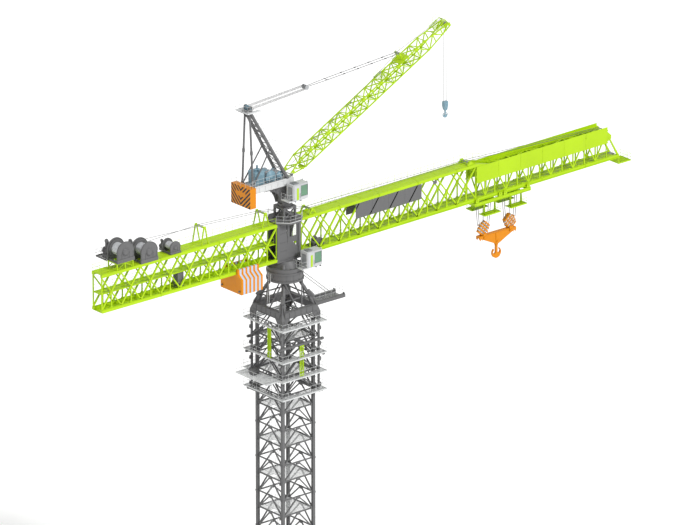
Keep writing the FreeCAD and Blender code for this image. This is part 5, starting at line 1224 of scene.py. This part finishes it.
def hook_block_details():
    """Each block is a pack of inclined cheeks with sheaves between them."""
    cheeks, wheels = Piece(), Piece()
    bottom = 4339.9
    for x0, lean in zip(BLOCKS, (-1, 1)):
        tilt = math.radians(42) * lean
        lay = V((math.cos(tilt), 0, math.sin(tilt)))
        axis = V((-math.sin(tilt), 0, math.cos(tilt)))
        centre = V((x0, 0, 4436))
        for k in range(-2, 3):
            length = 96 - 15 * abs(k)
            middle = centre + axis * 41 * k
            c = 12
            shape = [(-length + c, -29), (length - c, -29), (length, -29 + c), (length, 29 - c),
                     (length - c, 29),
                     (-length + c, 29), (-length, 29 - c), (-length, -29 + c)]
            cheeks.plate([middle + lay * a + Y * b for a, b in shape], axis, 21)
            if k < 2:
                for side in (-1, 0, 1):
                    sheave(wheels, middle + axis * 20.5 + lay * side * 52, axis, 30, 14)
        cheeks.tube(centre - axis * 88, centre + axis * 88, 11, 16)
        for s in (-1, 1):
            cheeks.plate([(x0 - 30, s * 38, bottom + 30), (x0 + 30, s * 38, bottom + 30),
                          (x0 + 22, s * 38, bottom - 46),
                          (x0 - 22, s * 38, bottom - 46)], Y, 9)
            cheeks.tube((x0, s * 30, bottom - 22), (x0, s * 48, bottom - 22), 13, 18)
    made = cheeks.done("hook_block_cheeks", "main_block", "orange_paint")
    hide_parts("hook_blocks")
    wheels.done("hook_block_sheaves", "main_block", "light_grey_grating")
    claws = Piece()
    for x0 in (3400 + 30, 4050 - 30):
        for s in (-1, 1):
            claws.plate([(x0 - 34, s * 33, 4338), (x0 + 34, s * 33, 4338), (x0 + 34, s * 33, 4296),
                         (x0 + 16, s * 33, 4272), (x0 + 6, s * 33, 4296), (x0 - 6, s * 33, 4296),
                         (x0 - 16, s * 33, 4272), (x0 - 34, s * 33, 4296)], Y, 8)
    for s in (-1, 1):
        claws.bar((3450, s * 31, 4330), (4000, s * 31, 4330), 5, 10, Y)
        claws.plate([(3690, s * 33, 4330), (3760, s * 33, 4330), (3752, s * 33, 4176), (3698, s * 33, 4176)],
                    Y, 8)
        claws.tube((3725, s * 30, 4205), (3725, s * 44, 4205), 16, 20)
    claws.turned((3725, 0, 4196), Z * -1, [(0, 40), (14, 40), (20, 34), (26, 34)], 28)
    claws.done("equalizer_fittings", "main_block", "orange_paint")
    hook = Piece()
    hook.turned((3725, 0, 4162), Z * -1, [(0, 19), (10, 24), (28, 24), (34, 18), (60, 16)], 24)
    hook.done("main_hook_collar", "main_hook", "orange_paint")


def falls():
    """Taut rope falls between the trolley's sheaves and the hook blocks."""
    ropes = Piece()
    z1 = low(TROLLEY_X) - 80
    guides = Piece()
    for x0 in BLOCKS:
        for side in (-1, 1):
            at = x0 + side * 118
            for y in (-20, 20):
                ropes.tube((x0 + side * 84, y, 4484), (at, y, z1), 4.6, 10)
                sheave(guides, (at, y, z1 + 12), Y, 24, 9)
            guides.tube((at, -66, z1 + 12), (at, 66, z1 + 12), 6, 12)
            for y in (-62, 62):
                guides.plate([(at - 20, y, z1 - 8), (at + 20, y, z1 - 8), (at + 12, y, z1 + 66),
                              (at - 12, y, z1 + 66)], Y, 6)
        for y in (-8, 8):
            ropes.tube((x0, y, 4505), (x0, y, z1 - 20), 2.6, 8)
    guides.done("trolley_guide_sheaves", "trolley", "lime_paint")
    made = ropes.done("main_falls", None, "steel_rope", ride=False)
    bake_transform(made)
    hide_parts("main_hoist_ropes")


# ---- luffing crane -----------------------------------------------------------------------
def luffer_details():
    rail, metal, dark = Piece(), Piece(), Piece()
    top = LUFF_DECK
    for s in (-1, 1):
        y = s * 116
        railing(rail, [(-655, y, top), (-60, y, top)], 100, 92, radius=1.8)
        for k in range(7):
            x = -640 + k * 105
            rail.box((x - 4, x + 4), (s * 121 - 3, s * 121 + 3), (5924, 6007))
        rail.box((-656, 56), (s * 122 - 3, s * 122 + 3), (5922, 5930))
        rail.box((-656, 56), (s * 122 - 3, s * 122 + 3), (6001, 6009))
        railing(rail, [(-757, s * 196, 6041), (-664, s * 196, 6041)], 90, 60, toe=0, radius=1.6)
    railing(rail, [(-757, -196, 6041), (-757, 196, 6041)], 90, 98, toe=0, radius=1.6)
    grating(rail, (-655, 10), (-118, -76), top + 3, pitch=14)
    grating(rail, (-655, 10), (76, 118), top + 3, pitch=14)
    head_z = top + 1055
    x0, x1, w = -740, -500, 130
    z = head_z + 7
    for s in (-1, 1):
        grating(rail, (x0, x1), tuple(sorted((s * 62, s * w))), z, pitch=13)
    grating(rail, (x0, -652), (-62, 62), z, pitch=13)
    railing(rail, [(x1 - 3, -w + 3, z), (x0 + 3, -w + 3, z), (x0 + 3, w - 3, z), (x1 - 3, w - 3, z)], 100,
            78, radius=1.8)
    rail.done("luffer_rails", "luffing_crane", "light_grey_grating")
    foot, head = V((-40, 0, top)), V((-640, 0, head_z))
    lean = (head - foot).normalized()
    out = V((lean.z, 0, -lean.x))
    ladders = Piece()
    ladder(ladders, foot + lean * 60 + out * 26, head - lean * 10 + out * 26, Y, 40, 30, 2.0, 74, out)
    for k, t in enumerate((0.32, 0.5)):
        p = foot.lerp(head, t) + out * 40
        ladders.bar(p - Y * 40, p + out * 0 - Y * 40 + X * 120, 3, 5)
        ladders.bar(p + Y * 40, p + Y * 40 + X * 120, 3, 5)
        ladders.bar(p + X * 120 - Y * 42, p + X * 120 + Y * 42, 3, 5)
    ladders.done("a_frame_ladder", "luffing_crane", "light_grey_grating")

    def width(p):
        return 120 - 60 * (p.z - top) / 1055

    for base, stations in ((foot, (0.08, 0.2, 0.35, 0.52, 0.7, 0.84, 0.96)),):
        for a, b in zip(stations, stations[1:]):
            p, q = base.lerp(head, a), base.lerp(head, b)
            for s in (-1, 1):
                dark.tube(p + Y * s * (width(p) - 12), q - Y * s * (width(q) - 12), 4.5, 8)
            dark.tube(p - Y * (width(p) - 12), p + Y * (width(p) - 12), 5, 8)
    rear = V((-640, 0, top))
    for s in (-1, 1):
        p, q = foot + Y * s * 108 + lean * 14, head + Y * s * 52
        dark.bar(p, q, 40, 34, Y)
        for share in (0.1, 0.28, 0.46, 0.64, 0.82):
            c = p.lerp(q, share)
            dark.bar(c - lean * 4, c + lean * 4, 46, 40, Y)
        p, q = rear + Y * s * 108, head + Y * s * 52
        dark.turned(p + (q - p) * 0.02, q - p, [(0, 9), (0.4, 9), (0.43, 15), (0.49, 15), (0.52, 9),
                                                (0.96, 9)], 20, unit=True)
        p = rear + Y * s * 108
        q = foot.lerp(head, 0.46) + Y * s * 84
        dark.bar(p + Z * 6, q, 15, 15)
        mid = rear.lerp(head, 0.46)
        dark.box((mid.x - 14, mid.x + 14), (s * (width(mid) - 10) - 14, s * (width(mid) - 10) + 14),
                 (mid.z - 26, mid.z + 26))
        for p, along in ((foot, lean), (rear, Z)):
            at = p + Y * s * 108
            dark.plate([at + along * 4 - X * 26, at + along * 4 + X * 26, at + along * 60 + X * 6,
                        at + along * 60 - X * 6], Y, 26)
    for y in (-52, 52):
        dark.plate([(-672, y, head_z), (-590, y, head_z), (-604, y, head_z + 76), (-630, y, head_z + 84),
                    (-656, y, head_z + 76)], Y, 8)
    dark.box((-655, -30), (-106, -94), (top, top + 10))
    dark.box((-655, -30), (94, 106), (top, top + 10))
    for i in range(28):
        t = 2 * math.pi * i / 28
        dark.bolt((94 * math.cos(t), 94 * math.sin(t), 5640), Z, 3, 5)
    for s in (-1, 1):
        for k in range(3):
            x = -60 - 90 * k
            dark.bar((x, s * 86, 5918), (x + 20, s * 86, 5800 + 26 * k), 6, 4, Y)
        dark.box((-90, 50), (s * 86 - 3, s * 86 + 3), (5660, 5672))
        dark.tube((30, s * 101, LUFF_FOOT.z), (46, s * 101, LUFF_FOOT.z), 3, 8)
        dark.turned((38, s * 103, LUFF_FOOT.z), Y * s, [(0, 16), (6, 16), (8, 12), (12, 12)], 24)
    for s in (-1, 1):
        for k in range(6):
            x = -300 + k * 58
            dark.bar((x, s * 86, 5700 + abs(k - 5) * 26), (x + 46, s * 86, 5912), 5, 4, Y)
    dark.done("a_frame_bracing", "luffing_crane", "dark_grey_paint")
    for y in (-34, -17, 0, 17, 34):
        sheave(metal, (HEAD.x, y, HEAD.z), Y, 34, 12)
    metal.tube((HEAD.x, -60, HEAD.z), (HEAD.x, 60, HEAD.z), 7, 14)
    metal.done("a_frame_sheaves", "luffing_crane", "blue_grey_machinery")
    blue = Piece()
    for x, radius in ((-303.6, 70), (-145.2, 50)):
        z = top + radius + 15
        for s in (-1, 1):
            blue.turned((x, s * 72, z), Y * s, [(-2, radius * 1.12), (5, radius * 1.12), (7, radius * 0.5),
                                                (14, radius * 0.42)], 36)
            blue.plate([(x - radius, s * 64, top), (x + radius, s * 64, top), (x + radius * 0.6, s * 64, z),
                        (x - radius * 0.6, s * 64, z)], Y, 9)
            for k in range(6):
                a = math.pi * 2 * k / 6
                blue.bolt((x + radius * 0.8 * math.cos(a), s * 77, z + radius * 0.8 * math.sin(a)), Y * s, 4,
                          4)
    for k in range(9):
        x = -560 + k * 17
        blue.box((x - 3, x + 3), (-75, 75), (top + 16, top + 150))
    blue.box((-572, -404), (-77, 77), (top + 172, top + 188))
    blue.turned((-530, -30, top + 186), Z, [(0, 16), (26, 16), (28, 22), (34, 22), (40, 10)], 22)
    blue.turned((-450, 34, top + 186), Z, [(0, 12), (44, 12), (46, 16), (54, 14)], 20)
    blue.turned((-470, -40, top + 186), Z, [(0, 24), (12, 24), (16, 18), (22, 18)], 24)
    blue.turned((-400, -74, top + 60), X, [(0, 22), (6, 26), (60, 26), (66, 18)], 24)
    for k in range(3):
        points = [(-410, -50 + 22 * k, top + 150), (-380, -50 + 22 * k, top + 176),
                  (-330, -46 + 20 * k, top + 168),
                  (-300, -40 + 18 * k, top + 140)]
        for a, b in zip(points, points[1:]):
            blue.tube(a, b, 4, 8)
    blue.box((-250, -200), (-60, 60), (top, top + 70))
    blue.box((-244, -206), (-66, 66), (top + 12, top + 58))
    blue.done("luffer_winch_details", "luffing_crane", "blue_grey_machinery")
    wound = Piece()
    for x, radius in ((-303.6, 70), (-145.2, 50)):
        profile = [(0, radius - 5)]
        for i in range(24):
            for k, share in ((0, 0.0), (1, 0.8), (2, 1.0), (3, 0.8)):
                profile.append(((i + k / 4) * 118 / 24, radius + 0.4 + 1.8 * share))
        profile.append((118, radius - 5))
        wound.turned((x, -59, top + radius + 15), Y, profile, 36)
    wound.done("luffer_wound_rope", "luffing_crane", "drum_grey", WOUND_ROPE)


def on_jib(s, y, t):
    """Point at s along the luffing jib, y across it and t above its middle line."""
    return LUFF_FOOT + ALONG * s + Y * y + ACROSS * t


def luffing_jib_details():
    metal, walk, grey = Piece(), Piece(), Piece()
    for s in (250, 854, 1460, 2064, 2700):
        for y in (-1, 1):
            for t in (-1, 1):
                centre = on_jib(s, y * 81.5, t * 81.5)
                for d in (-5, 1):
                    a = centre + ALONG * d
                    metal.bar(a, a + ALONG * 4, 19, 19, Y)
    pitch = (2700 - 250) / 14
    for k in range(15):
        s = 250 + pitch * k
        for y in (-1, 1):
            for t in (-1, 1):
                c = on_jib(s, y * 81.5, t * 76)
                metal.plate([c - ALONG * 20, c + ALONG * 20, c + ALONG * 8 - ACROSS * t * 16,
                             c - ALONG * 8 - ACROSS * t * 16],
                            Y, 13)
    for s, rise in ((1920, 60), (600, 26), (980, 26), (1330, 26)):
        for y in (-20, 20):
            metal.bar(on_jib(s - 12, y, 86), on_jib(s, y, 90 + rise), 6, 6)
            metal.bar(on_jib(s + 12, y, 86), on_jib(s, y, 90 + rise), 6, 6)
        sheave(grey, on_jib(s, 0, 92 + rise), Y, 16 if rise > 40 else 10, 9)
        grey.tube(on_jib(s, -24, 92 + rise), on_jib(s, 24, 92 + rise), 3, 8)
    for s0, s1 in ((1850, 2000), (2220, 2370), (2940, 3090)):
        drop = 91 if s1 < 2900 else 70
        for k in range(int((s1 - s0) / 13)):
            walk.bar(on_jib(s0 + 13 * k, -100, drop), on_jib(s0 + 13 * k, 100, drop), 2.4, 4)
        for y in (-100, 0, 100):
            walk.bar(on_jib(s0, y, drop), on_jib(s1, y, drop), 4, 6)
        for y in (-100, 100):
            railing(walk, [on_jib(s0, y, drop), on_jib(s1, y, drop)], 84, 80, toe=6, radius=1.5, up=Z)
    for k in range(3):
        s0 = 300 + 800 * k
        ladder(walk, on_jib(s0, 0, -70), on_jib(s0 + 780, 0, -70), Y, 34, 24)
    ladder(walk, on_jib(640, 40, 60), on_jib(1100, 40, 60), Y, 30, 16)
    metal.plate([on_jib(236, y, t) for y, t in ((-60, -86), (60, -86), (40, -120), (-40, -120))], ALONG, 40)
    metal.done("luffing_jib_fittings", "luffing_jib", "lime_paint")
    walk.done("luffing_jib_walkways", "luffing_jib", "lime_paint")
    for y in (-45, -15, 15, 45):
        sheave(grey, on_jib(2287, y, 192), Y, 17, 9)
    grey.done("luffing_jib_sheaves", "luffing_jib", "drum_grey")
    tip = Piece()
    for y in (-1, 1):
        tip.plate([on_jib(3080, y * 36, 24), on_jib(3156, y * 36, 20), on_jib(3168, y * 36, -6),
                   on_jib(3140, y * 36, -30),
                   on_jib(3080, y * 36, -24)], Y, 7)
        tip.bar(on_jib(2900, y * 80, 60), on_jib(3120, y * 60, 96), 8, 8)
        tip.bar(on_jib(3120, y * 60, 96), on_jib(3150, y * 40, 20), 8, 8)
    tip.tube(on_jib(3120, -62, 96), on_jib(3120, 62, 96), 6, 12)
    tip.done("luffing_jib_tip", "luffing_jib", "lime_paint")


def pendant_details():
    """Pendant bars with connectors and the pulley block at their lower end."""
    steel, block = Piece(), Piece()
    top = on_jib(2287, 0, 192)
    line = (HEAD - top).normalized()
    far = top + line * 1590
    spreader = top + line * 1250
    for y in (-33, 33):
        steel.tube(top + line * 6 + Y * y, spreader + Y * y, 4.4, 10)
        steel.tube(spreader + Y * y, far + Y * y * 0.5, 4.4, 10)
        for d in (240, 480, 720, 960):
            p = top + line * d + Y * y
            steel.bar(p - line * 16, p + line * 16, 11, 14)
            for e in (-9, 9):
                steel.tube(p + line * e - Y * 8, p + line * e + Y * 8, 3.4, 10)
    steel.tube(spreader - Y * 44, spreader + Y * 44, 5, 12)
    up = line.cross(Y).normalized()
    for y in (-27, -9, 9, 27):
        sheave(block, far + line * 20 + Y * y, Y, 30, 10)
    for y in (-40, 40):
        shape = []
        for k in range(20):
            a = 2 * math.pi * k / 20
            shape.append(far + line * (20 + 30 * math.cos(a)) + up * 33 * math.sin(a) + Y * y)
        block.plate(shape, Y, 6)
    block.tube(far + line * 20 - Y * 48, far + line * 20 + Y * 48, 6, 14)
    made = steel.done("pendant_bars", "luffing_jib", "steel_rope")
    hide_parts("pendants")
    block.done("pendant_block", "luffing_jib", "drum_grey")
    ropes = Piece()
    begin = far + line * 20
    end = HEAD
    for y in (-36, -18, 0, 18, 36):
        for lift in (-28, 28):
            ropes.tube(begin + Y * y * 0.8 + up * lift, end + Y * y * 0.9 + up * lift, 2.0, 8)
    made = ropes.done("luffing_rope_falls", None, "steel_rope", ride=False)
    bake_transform(made)
    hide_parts("luffing_ropes")
    hoist = Piece()
    stops = on_jib(130, 0, 60), on_jib(1920, 0, 168), on_jib(2287, 0, 212), on_jib(3120, 0, 108)
    for a, b in zip(stops, stops[1:]):
        hoist.tube(a, b, 2.6, 8)
    hoist.done("aux_rope_run", "luffing_jib", "steel_rope")


def aux_details():
    block, wheels = Piece(), Piece()
    low_corner, high_corner = (V(c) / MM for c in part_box("aux_hook_block"))
    cx, cz = (low_corner.x + high_corner.x) / 2, (low_corner.z + high_corner.z) / 2
    half = (high_corner.y - low_corner.y) / 2
    tall = high_corner.z - low_corner.z
    for s in (-1, 1):
        y = s * (half + 1.5)
        shape = []
        for k in range(16):
            a = 2 * math.pi * k / 16
            shape.append((cx + 30 * math.cos(a), y, cz + tall * 0.14 + 36 * math.sin(a)))
        block.plate(shape, Y, 4)
        block.tube((cx, y - 2, cz + tall * 0.14), (cx, y + s * 7, cz + tall * 0.14), 9, 16)
        for dz in (-0.34, 0.4):
            block.bolt((cx, y, cz + tall * dz), Y * s, 4, 4)
    block.done("aux_block_cheeks", "aux_block", "blue_grey_machinery")
    foot, head = (V(c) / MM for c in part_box("aux_hoist_ropes"))
    radius, middle = (head.y - foot.y) / 2, (foot.x + head.x) / 2
    falls = Piece()
    for x in (foot.x + radius, head.x - radius):
        falls.tube((x, 0, foot.z), (x, 0, head.z), radius, 16)
    made = falls.done("aux_falls", None, "steel_rope", ride=False)
    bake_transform(made)
    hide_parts("aux_hoist_ropes")
    node_low, node_high = (V(c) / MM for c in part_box("aux_tip_sheave"))
    centre = (node_low + node_high) / 2
    radius = (node_high.z - node_low.z) / 2
    for y in (-12, 12):
        sheave(wheels, (centre.x, y, centre.z), Y, radius + 3, 10)
    wheels.done("aux_tip_sheaves", "luffing_jib", "drum_grey")


def climbing_extras():
    """Collars on the jacks of the climbing cylinders, and the climbing power pack."""
    metal = Piece()
    for i in (-1, 0, 1):
        for z in (3300, 3640):
            metal.turned((28 * i, -345, z), Z, [(0, 11), (8, 11)], 20)
        metal.turned((-345, -86.25 + 28 * i, 3580), Z, [(0, 11), (8, 11)], 20)
        metal.turned((-345, -86.25 + 28 * i, 3760), Z, [(0, 11), (8, 11)], 20)
        metal.turned((-345, -86.25 + 28 * i, 3940), Z, [(0, 11), (8, 11)], 20)
    metal.done("jack_collars", "mast", "lime_paint")
    power = Piece()
    power.box((-500, -400), (60, 150), (3260, 3340))
    power.box((-496, -404), (58, 152), (3268, 3330))
    power.turned((-450, 190, 3262), Z, [(0, 26), (50, 26), (54, 14), (70, 14)], 24)
    power.done("climbing_power_pack", "mast", "dark_grey_paint")


stage()
dress_nodes()
mast_fittings()
base_bolts()
climbing_frame()
rail_ladders.done("climbing_ladders", "mast", "light_grey_grating")
climbing_extras()
support_details()
jib_details()
jib_machinery()
rope_pieces()
winch_details()
ballast_details()
cab_details("lower_cab", "slewing_part", 112, -335, 4755.3)
cab_details("upper_cab", "luffing_crane", -93, -295, 5740.6)
cab_platforms()
head_details()
trolley_details()
hook_block_details()
falls()
luffer_details()
luffing_jib_details()
pendant_details()
aux_details()
